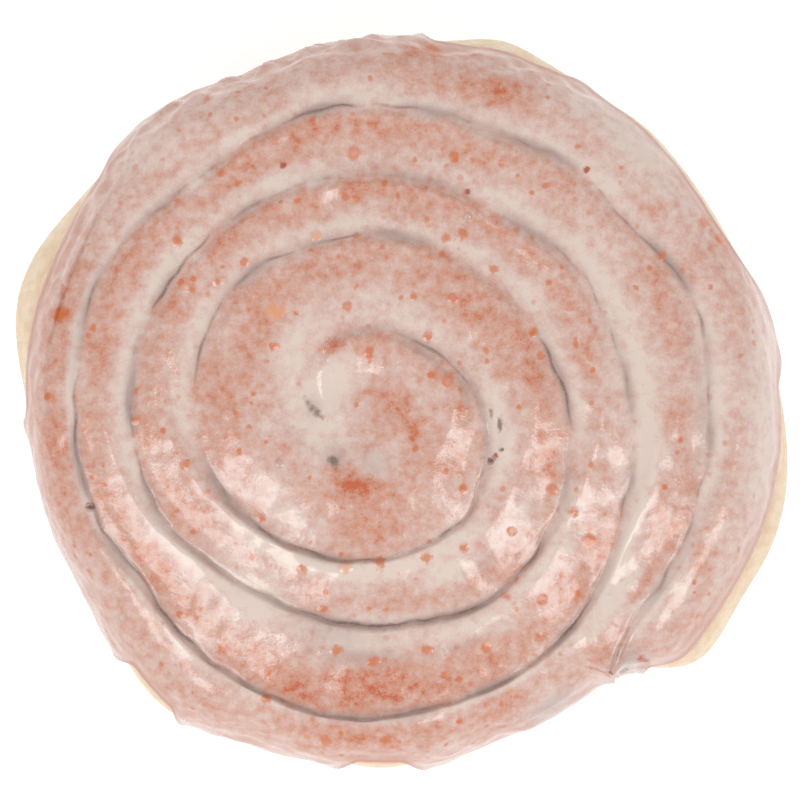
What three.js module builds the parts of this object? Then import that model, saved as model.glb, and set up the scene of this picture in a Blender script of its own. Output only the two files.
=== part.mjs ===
// A glazed cinnamon roll: one strip of raised dough, spread with cinnamon filling, wound into a spiral,
// fried until its top is brown and its waist is still pale, then dipped in thin sugar glaze.
//
// It is three solids. The dough is the strip, which grows out of a fat heart and ends in a tapered tail. The
// filling stands in the gap between one turn of the strip and the next, from the underside to the top. The
// glaze is a skin over the top that bridges the gaps and runs down the outer side.
//
// Everything is placed by a wind angle and a radius from the heart. The wind angle is in degrees, runs
// clockwise as seen from above and keeps counting up turn after turn, so one number says where along the
// strip a place is. Its zero lies along +X. Lengths are in millimetres, with +Z up and z = 0 underneath.

import * as THREE from "three";

// ---- The strip as wound -------------------------------------------------------------------------------

const HEART = { x: -3.0, y: -2.3 };
// Radius of the strip's inner face at every sixth of a turn, one row to a turn, from the heart outwards. The
// outer face of one turn is the inner face of the next, and the last turn and a bit is the open outer side.
const SIXTH_OF_TURN = 60;
const FACE_RADII = [
  [13.0, 11.3, 9.7, 10.7, 13.6, 12.2],
  [15.4, 19.7, 23.1, 27.6, 28.2, 26.4],
  [28.2, 31.8, 31.7, 37.1, 36.6, 35.4],
  [37.6, 43.4, 44.3, 45.5, 45.4, 46.6],
  [49.4, 51.5, 53.2, 52.8, 56.2, 57.7],
  [60.1, 58.1, 60.0],
].flat();
const HEART_ANGLE = 96; // where the gap between the turns begins
const TAIL_ANGLE = 1488; // where the strip ends
const TAIL_TAPER = 9; // degrees over which the tail narrows to its end
const TAIL_NARROWEST = 0.15; // share of its width that the tail keeps
const TAIL_DROP = 1.6; // how much lower its crest is there
// The dent that the tail presses into the turn it lies against, up to the tail's end and past it.
const TAIL_PRESS = { at: 1480, depth: 2.2, spreadBefore: 13, spreadPast: 6 };

// ---- Heights and section ------------------------------------------------------------------------------

const CREST_HEIGHT = 29.5;
const DOME_DROP = 2.6; // how much lower the crest is at the outer side than at the heart
const DOME_RADIUS = 58;
const SWAY = { height: 0.45, alongX: 13, alongY: 17 }; // slow rise and fall of the top
const HEART_DIMPLE = { x: -10, y: 1, depth: 1.3, spread: 8 };
const GROOVE_DEPTH = 3.2; // from crest to gap, on top
const SHOULDER_WIDTH = 4.7; // over which the crest falls to the gap
const SHOULDER_POWER = 1.7;
// The crests lean. Towards the lean's bearing each stands by its inner groove, opposite by its outer one.
const LEAN = { bearing: 90, spread: 1.8, shoulder: 4.0, depth: 0.2 };
const GROOVE_START = 200; // degrees over which the groove deepens from nothing at the heart
const FOOT_LIFT = 0.8; // how far the strip's lower edges curl up from the surface it rests on
const FOOT_SHARE = 0.15; // share of the strip's width over which they do

const WAIST_HEIGHT = 12.5; // where the open outer side stands out most
const SIDE_ROUND = 7.0; // how far the side curves in from waist to crest
const BASE_ROUND = 5.5; // how far it curves in from waist to base
const SIDE_POWER = 2.4; // 2 is an ellipse, more is boxier
const TOP_ROW_ENDS = 58; // slope angle on the side at which the top surface hands over to the side
const BASE_ANGLE = -68; // and at which the side ends and the base begins
const EMERGE = 8; // degrees over which the side comes out from under the tail
// Where the pale waist bulges out past the glazed top.
const WAIST_BULGES = [
  { at: 201, out: 4.6, spread: 16 },
  { at: 18, out: 3.6, spread: 19 },
  { at: 288, out: 2.6, spread: 10 },
  { at: 32, out: 2.2, spread: 6 },
  { at: 90, out: 1.2, spread: 7 },
  { at: 130, out: 1.4, spread: 7 },
];
const BULGE_HEIGHT = 9.5;
const BULGE_TALL = 5;
// Shallow lumps round the outer side, each kind a wave with so many to the turn.
const LUMPS = [
  { perTurn: 3, swing: 0.24, phase: 182 },
  { perTurn: 4, swing: 0.33, phase: 336 },
  { perTurn: 6, swing: 0.29, phase: 73 },
  { perTurn: 8, swing: 0.27, phase: 98 },
  { perTurn: 10, swing: 0.26, phase: 286 },
];

// ---- Gap, filling and glaze ---------------------------------------------------------------------------

const GAP = 1.3; // between one turn and the next, which holds the filling and 0.3 mm of air each side
const GAP_OPENS = 40; // degrees over which the gap opens at the heart
const FILLING_THICKNESS = 0.65;
const FILLING_STARTS = 32; // degrees past the heart's end of the gap
const FILLING_BELOW_SHOULDER = 0.3;
const FILLING_FOOT = 1.0; // the filling stops this far above the underside

const AIR = 0.3; // between the glaze and what it lies on
const GLAZE_SKIN = 0.75;
const GLAZE_LEVEL = 2.0; // depth that a deep groove keeps once glaze has run into it
const GLAZE_LEVEL_LEAN = 0.6; // how much more it keeps towards the lean's bearing, as a power of e
const GLAZE_LEVEL_AT_HEART = { share: 0.15, ends: 480 }; // share that it keeps there, up to a wind angle
const GLAZE_EDGE_ANGLE = -26; // slope angle on the side where the glaze stops
const GLAZE_EDGE_DRIPS = [
  { perTurn: 5, swing: 11, phase: 40 },
  { perTurn: 9, swing: 8, phase: 200 },
];
const GLAZE_EDGE_OVER_BULGE = 16; // where a bulge shows bare, the glaze stops above it
const BULGE_BARE_FROM = 0.5; // share of its height from which a bulge is bare

// ---- How finely it is made ----------------------------------------------------------------------------

const STATIONS_PER_TURN = 45;
const STATION_STEP = 360 / STATIONS_PER_TURN;
const ACROSS = [0, 0.16, 0.5, 0.84, 1]; // places across the strip's width
const COLUMNS = ACROSS.length;
const GLAZED_ROWS = 3; // rows of places down the open side, from the top to the glaze's edge
const BARE_ROWS = 2; // and from there to the base
const LAST_STATION = Math.round(
  (TAIL_ANGLE - HEART_ANGLE + 360) / STATION_STEP,
);

// ---- Small sums ---------------------------------------------------------------------------------------

const radians = THREE.MathUtils.degToRad;
const lerp = THREE.MathUtils.lerp;
const smoothstep = THREE.MathUtils.smoothstep;

/** A bell curve: 1 at the middle, 1/e one spread away. */
function bell(distance, spread) {
  return Math.exp(-((distance / spread) ** 2));
}

/** The shortest way round from one angle to another, in degrees. */
function turnBetween(from, to) {
  return THREE.MathUtils.euclideanModulo(to - from + 180, 360) - 180;
}

/** The sum of waves round the turn, each with its swing, its number to the turn and its phase. */
function waves(list, angle) {
  return list.reduce(
    (sum, w) => sum + w.swing * Math.sin(radians(w.perTurn * angle + w.phase)),
    0,
  );
}

/** Values that step evenly from one to another, the first left out. */
function evenly(from, to, count) {
  return Array.from({ length: count }, (_, k) =>
    lerp(from, to, (k + 1) / count),
  );
}

/** x to a power, with x's sign kept, so that a superellipse can be drawn all the way round. */
function signedPower(x, power) {
  return Math.sign(x) * Math.abs(x) ** power;
}

/** The place at a wind angle, radius and height. */
function placeAt(angle, radius, z) {
  const a = radians(angle);
  return new THREE.Vector3(
    HEART.x + radius * Math.cos(a),
    HEART.y - radius * Math.sin(a),
    z,
  );
}

// ---- The spiral ---------------------------------------------------------------------------------------

/** A smooth curve through the face radii, by Catmull-Rom. */
function readRadius(angle) {
  const x = angle / SIXTH_OF_TURN;
  const i = THREE.MathUtils.clamp(Math.floor(x), 1, FACE_RADII.length - 3);
  const f = x - i;
  const [a, b, c, d] = FACE_RADII.slice(i - 1, i + 3);
  return (
    b +
    0.5 *
      f *
      (c - a + f * (2 * a - 5 * b + 4 * c - d + f * (3 * (b - c) + d - a)))
  );
}

/** Radius of the middle of the gap, and past the tail of the open side. It closes on the heart's middle. */
function faceRadius(angle) {
  if (angle < HEART_ANGLE) {
    const share = (angle - HEART_ANGLE + 360) / 360;
    return readRadius(HEART_ANGLE) * share ** 0.75;
  }
  const { at, depth, spreadBefore, spreadPast } = TAIL_PRESS;
  const spread = angle < at ? spreadBefore : spreadPast;
  return readRadius(angle) - depth * bell(angle - at, spread);
}

/** Half the gap at a wind angle: none in the heart or on the open side. */
function halfGap(angle) {
  if (angle > TAIL_ANGLE) return 0;
  return (GAP / 2) * smoothstep(angle, HEART_ANGLE, HEART_ANGLE + GAP_OPENS);
}

/** How far the face at a wind angle is out in the open: 0 between turns, 1 on the outer side. */
function exposure(angle) {
  return smoothstep(angle, TAIL_ANGLE, TAIL_ANGLE + EMERGE);
}

/** How deep the groove over the gap at a wind angle is, as a share: it fades in at the heart. */
function grooveShare(angle) {
  const begun = smoothstep(angle, HEART_ANGLE, HEART_ANGLE + GROOVE_START);
  return begun * (1 - exposure(angle));
}

/** Radius of the open side's waist, which lies under the glaze by the glaze's own thickness. */
function waistRadius(angle) {
  return faceRadius(angle) - AIR - GLAZE_SKIN + waves(LUMPS, angle);
}

/** How far the tail's tapering has gone at a wind angle: 0 before it, 1 at the end. */
function tailShare(angle) {
  return smoothstep(angle, TAIL_ANGLE - TAIL_TAPER, TAIL_ANGLE) ** 2;
}

/** Share of its width that the strip has left as it nears the tail. */
function tailWidth(angle) {
  return lerp(1, TAIL_NARROWEST, tailShare(angle));
}

/** Inner and outer radius of the strip at a wind angle. */
function stripRadii(angle) {
  const inner = faceRadius(angle) + halfGap(angle);
  const atGap = faceRadius(angle + 360) - halfGap(angle + 360);
  const open = exposure(angle + 360);
  const outer = lerp(atGap, waistRadius(angle + 360), open);
  return { inner, outer: lerp(inner, outer, tailWidth(angle)) };
}

// ---- The dough's surfaces -----------------------------------------------------------------------------

/** Height of the crests over a place: a low dome with a slow sway and a dimple at the heart. */
function crestHeight(angle, radius) {
  const { x, y } = placeAt(angle, radius, 0);
  const dome = DOME_DROP * (radius / DOME_RADIUS) ** 2;
  const sway =
    SWAY.height * Math.sin(x / SWAY.alongX) * Math.cos(y / SWAY.alongY);
  const dimple =
    HEART_DIMPLE.depth *
    bell(
      Math.hypot(x - HEART_DIMPLE.x, y - HEART_DIMPLE.y),
      HEART_DIMPLE.spread,
    );
  return CREST_HEIGHT - dome + sway - dimple - TAIL_DROP * tailShare(angle);
}

/** How the crests lean at a wind angle: 1 towards the lean's bearing, -1 opposite. */
function crestLean(angle) {
  const facing = Math.cos(radians(angle - LEAN.bearing));
  return Math.tanh(LEAN.spread * facing) / Math.tanh(LEAN.spread);
}

/** How far the dough's top falls beside a gap, at a distance from it on its outer or its inner side. */
function doughFall(gapAngle, distance, isOuterSide) {
  const lean = crestLean(gapAngle);
  const width = SHOULDER_WIDTH + LEAN.shoulder * (isOuterSide ? -lean : lean);
  const share = THREE.MathUtils.clamp(1 - distance / width, 0, 1);
  const depth = GROOVE_DEPTH + LEAN.depth * lean;
  return grooveShare(gapAngle) * depth * share ** SHOULDER_POWER;
}

/** How far the glaze's top falls there: glaze ran in and levels the groove. */
function glazeFall(gapAngle, distance, isOuterSide) {
  const { share, ends } = GLAZE_LEVEL_AT_HEART;
  const wound = lerp(share, 1, smoothstep(gapAngle, HEART_ANGLE, ends));
  const leaning = Math.exp(GLAZE_LEVEL_LEAN * crestLean(gapAngle));
  const level = GLAZE_LEVEL * leaning * wound;
  const fall = doughFall(gapAngle, distance, isOuterSide);
  return level * (1 - Math.exp(-fall / level));
}

/** How far the open side curves in, above or below the waist: less where the tail has narrowed. */
function sideRound(angle, isAbove) {
  return (isAbove ? SIDE_ROUND : BASE_ROUND) * tailWidth(angle);
}

/** Height of the open side above the waist, as a share of the crest's, at a distance inside the waist. */
function sideShare(angle, distance) {
  const share = distance / sideRound(angle, true);
  const inwards = THREE.MathUtils.clamp(1 - share, 0, 1);
  return (1 - inwards ** SIDE_POWER) ** (1 / SIDE_POWER);
}

/** Height of the top at a wind angle and radius, its grooves as deep as the dough's or the glaze's. */
function topHeight(angle, radius, fallBeside = doughFall) {
  const crest = crestHeight(angle, radius);
  const open = exposure(angle + 360);
  const toGap = faceRadius(angle + 360) - radius;
  const toWaist = stripRadii(angle).outer - radius;
  const besideGap = crest - fallBeside(angle + 360, toGap, false);
  const overSide =
    WAIST_HEIGHT + (crest - WAIST_HEIGHT) * sideShare(angle, toWaist);
  return (
    lerp(besideGap, overSide, open) -
    fallBeside(angle, radius - faceRadius(angle), true)
  );
}

/** How far the bare waist bulges out at a wind angle and height. */
function waistBulge(angle, z) {
  const out = WAIST_BULGES.reduce(
    (sum, b) => sum + b.out * bell(turnBetween(b.at, angle), b.spread),
    0,
  );
  return out * bell(z - BULGE_HEIGHT, BULGE_TALL);
}

/** Radius and height on the open side at a wind angle, where the side's slope angle is given: 90 is the
 *  crest, 0 the waist and -90 the base. */
function sideProfile(angle, slope, waist) {
  const round = sideRound(angle, slope > 0);
  const inwards = 1 - signedPower(Math.cos(radians(slope)), 2 / SIDE_POWER);
  const radius = waist - round * inwards;
  const tall =
    slope > 0 ? crestHeight(angle, radius) - WAIST_HEIGHT : WAIST_HEIGHT;
  const z =
    WAIST_HEIGHT +
    tall * signedPower(Math.sin(radians(slope)), 2 / SIDE_POWER);
  return { radius: radius + waistBulge(angle, z), z };
}

/** The strip's outer edge in plan where the top hands over to the side, and where the base does. */
function outerEdge(angle, slope, outer) {
  const profile = sideProfile(angle, slope, outer);
  return lerp(outer, profile.radius, exposure(angle + 360));
}

/** The dough's top at a station and column. */
function topPlace(station, column) {
  const angle = stationAngle(station);
  const { inner, outer } = stripRadii(angle);
  const edge = outerEdge(angle, TOP_ROW_ENDS, outer);
  const radius = lerp(inner, edge, ACROSS[column]);
  return placeAt(angle, radius, topHeight(angle, radius));
}

/** The dough's underside at a station and column: flat, with curled-up edges. */
function basePlace(station, column) {
  const angle = stationAngle(station);
  const { inner, outer } = stripRadii(angle);
  const edge = outerEdge(angle, BASE_ANGLE, outer);
  const share = ACROSS[column];
  const open = exposure(angle + 360);
  const innerLift =
    FOOT_LIFT * grooveShare(angle) * (1 - smoothstep(share, 0, FOOT_SHARE));
  const outerLift =
    lerp(FOOT_LIFT, sideProfile(angle, BASE_ANGLE, outer).z, open) *
    smoothstep(share, 1 - FOOT_SHARE, 1);
  return placeAt(angle, lerp(inner, edge, share), innerLift + outerLift);
}

/** Slope angle on the side where the glaze stops at a wind angle, with drips between the bare bulges. */
function glazeEdge(angle) {
  const dripping = GLAZE_EDGE_ANGLE + waves(GLAZE_EDGE_DRIPS, angle);
  const beside = WAIST_BULGES.map((b) =>
    bell(turnBetween(b.at, angle), b.spread),
  );
  const bare = smoothstep(Math.max(...beside), 0, BULGE_BARE_FROM);
  return lerp(dripping, GLAZE_EDGE_OVER_BULGE, bare);
}

/** Slope angles of the rows down the open side at a station, the glazed rows first. */
function sideSlopes(station) {
  const edge = glazeEdge(stationAngle(station));
  const glazed = evenly(TOP_ROW_ENDS, edge, GLAZED_ROWS);
  const bare = evenly(edge, BASE_ANGLE, BARE_ROWS + 1).slice(0, -1);
  return [...glazed, ...bare];
}

/** A place on the open side at a station and slope angle, or standing clear of it. */
function sidePlace(station, slope, clear = 0) {
  const angle = stationAngle(station);
  const { outer } = stripRadii(angle);
  const profile = sideProfile(angle, slope, outer);
  const radius = lerp(outer, profile.radius, exposure(angle + 360));
  return placeAt(
    angle,
    radius + clear * Math.cos(radians(slope)),
    profile.z + clear * Math.sin(radians(slope)),
  );
}

/** The rows down the strip's outer side at a station, between its top and its base. A side between two turns
 *  is upright and needs none. */
function sidePlaces(station) {
  if (exposure(stationAngle(station) + 360) === 0) return [];
  return sideSlopes(station).map((slope) => sidePlace(station, slope));
}

// ---- The mesh of the wound strip ----------------------------------------------------------------------

/** Wind angle of a station. Stations run from the middle of the heart to the tail. */
function stationAngle(station) {
  return HEART_ANGLE - 360 + station * STATION_STEP;
}

/** The number of the place at a station and column. The strip's first row starts on the heart's middle, and
 *  its far end is where the gap starts, so those two places are shared. */
function placeNumber(station, column) {
  const startsGap = station === STATIONS_PER_TURN && column === 0;
  return startsGap ? COLUMNS - 1 : station * COLUMNS + column;
}

/** Two triangles for the four corners, in order round the outside. */
function quad(a, b, c, d) {
  return [
    [a, b, c],
    [a, c, d],
  ];
}

/** The faces of the strip in plan, facing up: its rows of quads, and a fan that closes the heart. */
function stripFaces() {
  const faces = [];
  for (let i = 0; i < LAST_STATION; i++) {
    for (let j = 0; j < COLUMNS - 1; j++) {
      faces.push(
        ...quad(
          placeNumber(i, j),
          placeNumber(i + 1, j),
          placeNumber(i + 1, j + 1),
          placeNumber(i, j + 1),
        ),
      );
    }
  }
  const middle = placeNumber(0, 0);
  const closing = placeNumber(STATIONS_PER_TURN - 1, 0);
  for (let i = 1; i < STATIONS_PER_TURN - 1; i++) {
    faces.push([middle, placeNumber(i + 1, 0), placeNumber(i, 0)]);
  }
  for (let j = 0; j < COLUMNS - 1; j++) {
    faces.push([closing, placeNumber(0, j), placeNumber(0, j + 1)]);
  }
  return faces.filter(([a, b, c]) => a !== b && b !== c && c !== a);
}

/** The edges that belong to one face only, each in its face's own direction. */
function openEdges(faces) {
  const edges = new Map();
  for (const [a, b, c] of faces) {
    for (const [from, to] of [
      [a, b],
      [b, c],
      [c, a],
    ]) {
      if (!edges.delete(to + " " + from))
        edges.set(from + " " + to, [from, to]);
    }
  }
  return [...edges.values()];
}

/** Triangles between two columns of place numbers that run down a wall side by side. */
function zipWall(left, right) {
  const faces = [];
  let l = 0;
  let r = 0;
  while (l < left.length - 1 || r < right.length - 1) {
    const leftNext = (l + 1) / (left.length - 1);
    const rightNext = (r + 1) / (right.length - 1);
    if (leftNext <= rightNext) {
      faces.push([right[r], left[l], left[l + 1]]);
      l += 1;
    } else {
      faces.push([right[r], left[l], right[r + 1]]);
      r += 1;
    }
  }
  return faces;
}

/** A closed mesh geometry between an upper and a lower sheet that share their faces. Along the sheets' open
 *  edges a wall runs down through the places that between(number) gives. */
function solidBetween(faces, upper, lower, between = () => []) {
  const places = [...upper, ...lower];
  const triangles = faces.flatMap(([a, b, c]) => [
    [a, b, c],
    [a + upper.length, c + upper.length, b + upper.length],
  ]);
  const columns = new Map();
  const columnUnder = (number) => {
    if (!columns.has(number)) {
      const added = between(number).map((place) => places.push(place) - 1);
      columns.set(number, [number, ...added, number + upper.length]);
    }
    return columns.get(number);
  };
  for (const [from, to] of openEdges(faces))
    triangles.push(...zipWall(columnUnder(from), columnUnder(to)));
  return new THREE.BufferGeometry()
    .setFromPoints(places)
    .setIndex(triangles.flat());
}

/** A place for every station and column of the strip. */
function stripPlaces(place) {
  const places = [];
  for (let i = 0; i <= LAST_STATION; i++)
    for (let j = 0; j < COLUMNS; j++) places.push(place(i, j));
  return places;
}

function doughGeometry() {
  const onOuterSide = (number) => number % COLUMNS === COLUMNS - 1;
  return solidBetween(
    stripFaces(),
    stripPlaces(topPlace),
    stripPlaces(basePlace),
    (number) =>
      onOuterSide(number) ? sidePlaces(Math.floor(number / COLUMNS)) : [],
  );
}

// ---- The filling --------------------------------------------------------------------------------------

/** The filling's two edges at a wind angle, at a height. */
function fillingPlaces(angle, z) {
  const middle = faceRadius(angle);
  const half = FILLING_THICKNESS / 2;
  return [placeAt(angle, middle - half, z), placeAt(angle, middle + half, z)];
}

function fillingGeometry() {
  const upper = [];
  const lower = [];
  const faces = [];
  const start =
    STATIONS_PER_TURN + Math.ceil(FILLING_STARTS / STATION_STEP);
  for (let i = start; i <= LAST_STATION; i++) {
    const angle = stationAngle(i);
    const within = topPlace(i - STATIONS_PER_TURN, COLUMNS - 1).z;
    const outside = topPlace(i, 0).z;
    const top = Math.min(within, outside) - FILLING_BELOW_SHOULDER;
    upper.push(...fillingPlaces(angle, top));
    lower.push(...fillingPlaces(angle, FILLING_FOOT));
    const n = upper.length;
    if (i > start) faces.push(...quad(n - 4, n - 2, n - 1, n - 3));
  }
  return solidBetween(faces, upper, lower);
}

// ---- The glaze ----------------------------------------------------------------------------------------

/** Extra glaze over a place on the strip, where it ran into the grooves on both sides. */
function glazeFill(angle, radius) {
  return topHeight(angle, radius, glazeFall) - topHeight(angle, radius);
}

/** A place of the dough's top, lifted for the glaze's lower or upper face. On the open side's shoulder it
 *  moves out as well as up. */
function overTop(station, column, skin) {
  const angle = stationAngle(station);
  const place = topPlace(station, column);
  const radius = Math.hypot(place.x - HEART.x, place.y - HEART.y);
  const fill = skin > 0 ? glazeFill(angle, radius) : 0;
  const lean =
    exposure(angle + 360) * (column === COLUMNS - 1 ? 90 - TOP_ROW_ENDS : 0);
  const lift = AIR + skin;
  return placeAt(
    angle,
    radius + lift * Math.sin(radians(lean)),
    place.z + lift * Math.cos(radians(lean)) + fill,
  );
}

function glazeGeometry() {
  const stripSize = (LAST_STATION + 1) * COLUMNS;
  const firstOpen = LAST_STATION - STATIONS_PER_TURN + 1;
  const sideNumber = (station, row) =>
    row === 0
      ? placeNumber(station, COLUMNS - 1)
      : stripSize + (station - firstOpen) * GLAZED_ROWS + row - 1;
  const faces = stripFaces();
  for (let i = STATIONS_PER_TURN; i < LAST_STATION; i++) {
    const across = (station) =>
      placeNumber(station - STATIONS_PER_TURN, COLUMNS - 1);
    faces.push(
      ...quad(
        across(i),
        across(i + 1),
        placeNumber(i + 1, 0),
        placeNumber(i, 0),
      ),
    );
  }
  for (let i = firstOpen; i < LAST_STATION; i++) {
    for (let row = 0; row < GLAZED_ROWS; row++) {
      faces.push(
        ...quad(
          sideNumber(i, row),
          sideNumber(i + 1, row),
          sideNumber(i + 1, row + 1),
          sideNumber(i, row + 1),
        ),
      );
    }
  }
  const layer = (skin) => {
    const places = stripPlaces((i, j) => overTop(i, j, skin));
    for (let i = firstOpen; i <= LAST_STATION; i++)
      for (const slope of sideSlopes(i).slice(0, GLAZED_ROWS))
        places.push(sidePlace(i, slope, AIR + skin));
    return places;
  };
  const whole = faces.filter(([a, b, c]) => a !== b && b !== c && c !== a);
  return solidBetween(whole, layer(GLAZE_SKIN), layer(0));
}

// ---- The roll -----------------------------------------------------------------------------------------

/** A named mesh with a plain finish. */
function piece(name, geometry, finish) {
  const mesh = new THREE.Mesh(
    geometry,
    new THREE.MeshStandardMaterial({ metalness: 0, ...finish }),
  );
  mesh.name = name;
  return mesh;
}

const roll = new THREE.Group();
roll.add(
  piece("dough", doughGeometry(), { color: 0xe3b886, roughness: 0.75 }),
  piece("cinnamon_filling", fillingGeometry(), {
    color: 0x5a3a2c,
    roughness: 0.8,
  }),
  piece("glaze", glazeGeometry(), { color: 0xdcb9ac, roughness: 0.25 }),
);

// The frame's origin is the middle of the roll's outline, at its underside.
const outline = new THREE.Box3().setFromObject(roll);
const middle = outline.getCenter(new THREE.Vector3());
roll.position.set(-middle.x, -middle.y, -outline.min.z);

export default roll;
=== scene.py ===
"""A glazed cinnamon roll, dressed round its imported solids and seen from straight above.

The roll is one strip of dough wound into a spiral. Every surface here is a function of the wind angle,
which runs clockwise as seen from above and keeps counting up turn after turn, and of a place across the
strip or down its side. Shapes are worked out in millimetres and put into the meshes in metres.
"""

from __future__ import annotations

import logging
from dataclasses import dataclass
from enum import Enum

import bpy
import numpy as np
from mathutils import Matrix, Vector


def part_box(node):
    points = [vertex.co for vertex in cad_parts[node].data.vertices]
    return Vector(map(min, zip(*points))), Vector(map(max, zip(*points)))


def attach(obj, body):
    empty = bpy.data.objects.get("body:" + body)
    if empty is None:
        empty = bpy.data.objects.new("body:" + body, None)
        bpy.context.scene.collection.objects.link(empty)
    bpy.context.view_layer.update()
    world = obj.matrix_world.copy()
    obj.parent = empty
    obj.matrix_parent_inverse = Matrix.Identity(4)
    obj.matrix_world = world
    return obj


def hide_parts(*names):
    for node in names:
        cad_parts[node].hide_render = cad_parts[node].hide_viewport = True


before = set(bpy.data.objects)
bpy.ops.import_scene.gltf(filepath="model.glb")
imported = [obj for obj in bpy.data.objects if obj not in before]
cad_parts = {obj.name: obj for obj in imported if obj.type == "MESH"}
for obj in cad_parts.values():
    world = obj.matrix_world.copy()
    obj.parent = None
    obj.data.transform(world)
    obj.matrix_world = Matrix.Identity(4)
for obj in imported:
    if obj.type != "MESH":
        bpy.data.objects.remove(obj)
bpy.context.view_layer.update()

MM = 0.001  # metres in a millimetre
TURN = 360.0  # degrees in a turn
FAR = 30.0  # millimetres, for a place that no groove reaches
LOG = logging.getLogger("cinnamon_roll")

Array = np.ndarray


# ---- Small sums --------------------


def smoothstep(x: Array, low: float, high: float) -> Array:
    """Rise smoothly from 0 at low to 1 at high, by 3s^2 - 2s^3."""
    s = np.clip((np.asarray(x, float) - low) / (high - low), 0.0, 1.0)
    return s * s * (3.0 - 2.0 * s)


def lerp(a: Array, b: Array, share: Array) -> Array:
    """Go from a to b by a share."""
    return a + (b - a) * share


def bell(distance: Array, spread: float) -> Array:
    """A bell curve: 1 at the middle, 1/e one spread away."""
    return np.exp(-((distance / spread) ** 2))


def turn_between(start: Array, end: Array) -> Array:
    """The shortest way round from one angle to another, in degrees."""
    return (end - start + TURN / 2.0) % TURN - TURN / 2.0


def signed_power(x: Array, power: float) -> Array:
    """x to a power, with its sign kept, which draws a superellipse all the way round."""
    return np.sign(x) * np.abs(x) ** power


def noise(points: Array, size: float, seed: int) -> Array:
    """Gradient noise between about -1 and 1, without repeats.

    Each corner of a lattice has a random slope, and a point takes a smooth mix of the eight round it.

    Args:
        points: Places in millimetres, as rows of three.
        size: The width of a lump, in millimetres.
        seed: Which of the many such patterns to take.

    Returns:
        One value for each point.
    """
    table_size = 256
    shift_by_seed = 0.37
    gain = 1.7
    rng = np.random.default_rng(seed)
    order = rng.permutation(table_size)
    slopes = rng.normal(size=(table_size, 3))
    slopes /= np.linalg.norm(slopes, axis=1, keepdims=True)
    p = points / size + seed * shift_by_seed
    cell = np.floor(p).astype(np.int64)
    inside = p - cell
    ease = inside * inside * inside * (inside * (inside * 6.0 - 15.0) + 10.0)
    total = np.zeros(len(p))
    for corner in np.ndindex(2, 2, 2):
        step = np.array(corner)
        index = 0
        for corner_number in (cell + step).T:
            index = order[(corner_number + index) % table_size]
        slope = np.einsum("ij,ij->i", slopes[index], inside - step)
        weight = np.prod(np.where(step == 1, ease, 1.0 - ease), axis=1)
        total += weight * slope
    return total * gain


# ---- The spiral --------------------


@dataclass(frozen=True)
class Wave:
    """One wave of a sum of waves round the turn."""

    per_turn: int
    swing: float
    phase: float


def waves(parts: tuple[Wave, ...], angle: Array) -> Array:
    """The sum of the waves, each its swing times the sine of its number times the angle."""
    return sum(w.swing * np.sin(np.radians(w.per_turn * np.asarray(angle) + w.phase)) for w in parts)


@dataclass(frozen=True)
class Wander:
    """Where the coil strays from its smooth path: wind angle, how far out, and over what angle."""

    at: float
    out: float
    spread: float


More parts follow.
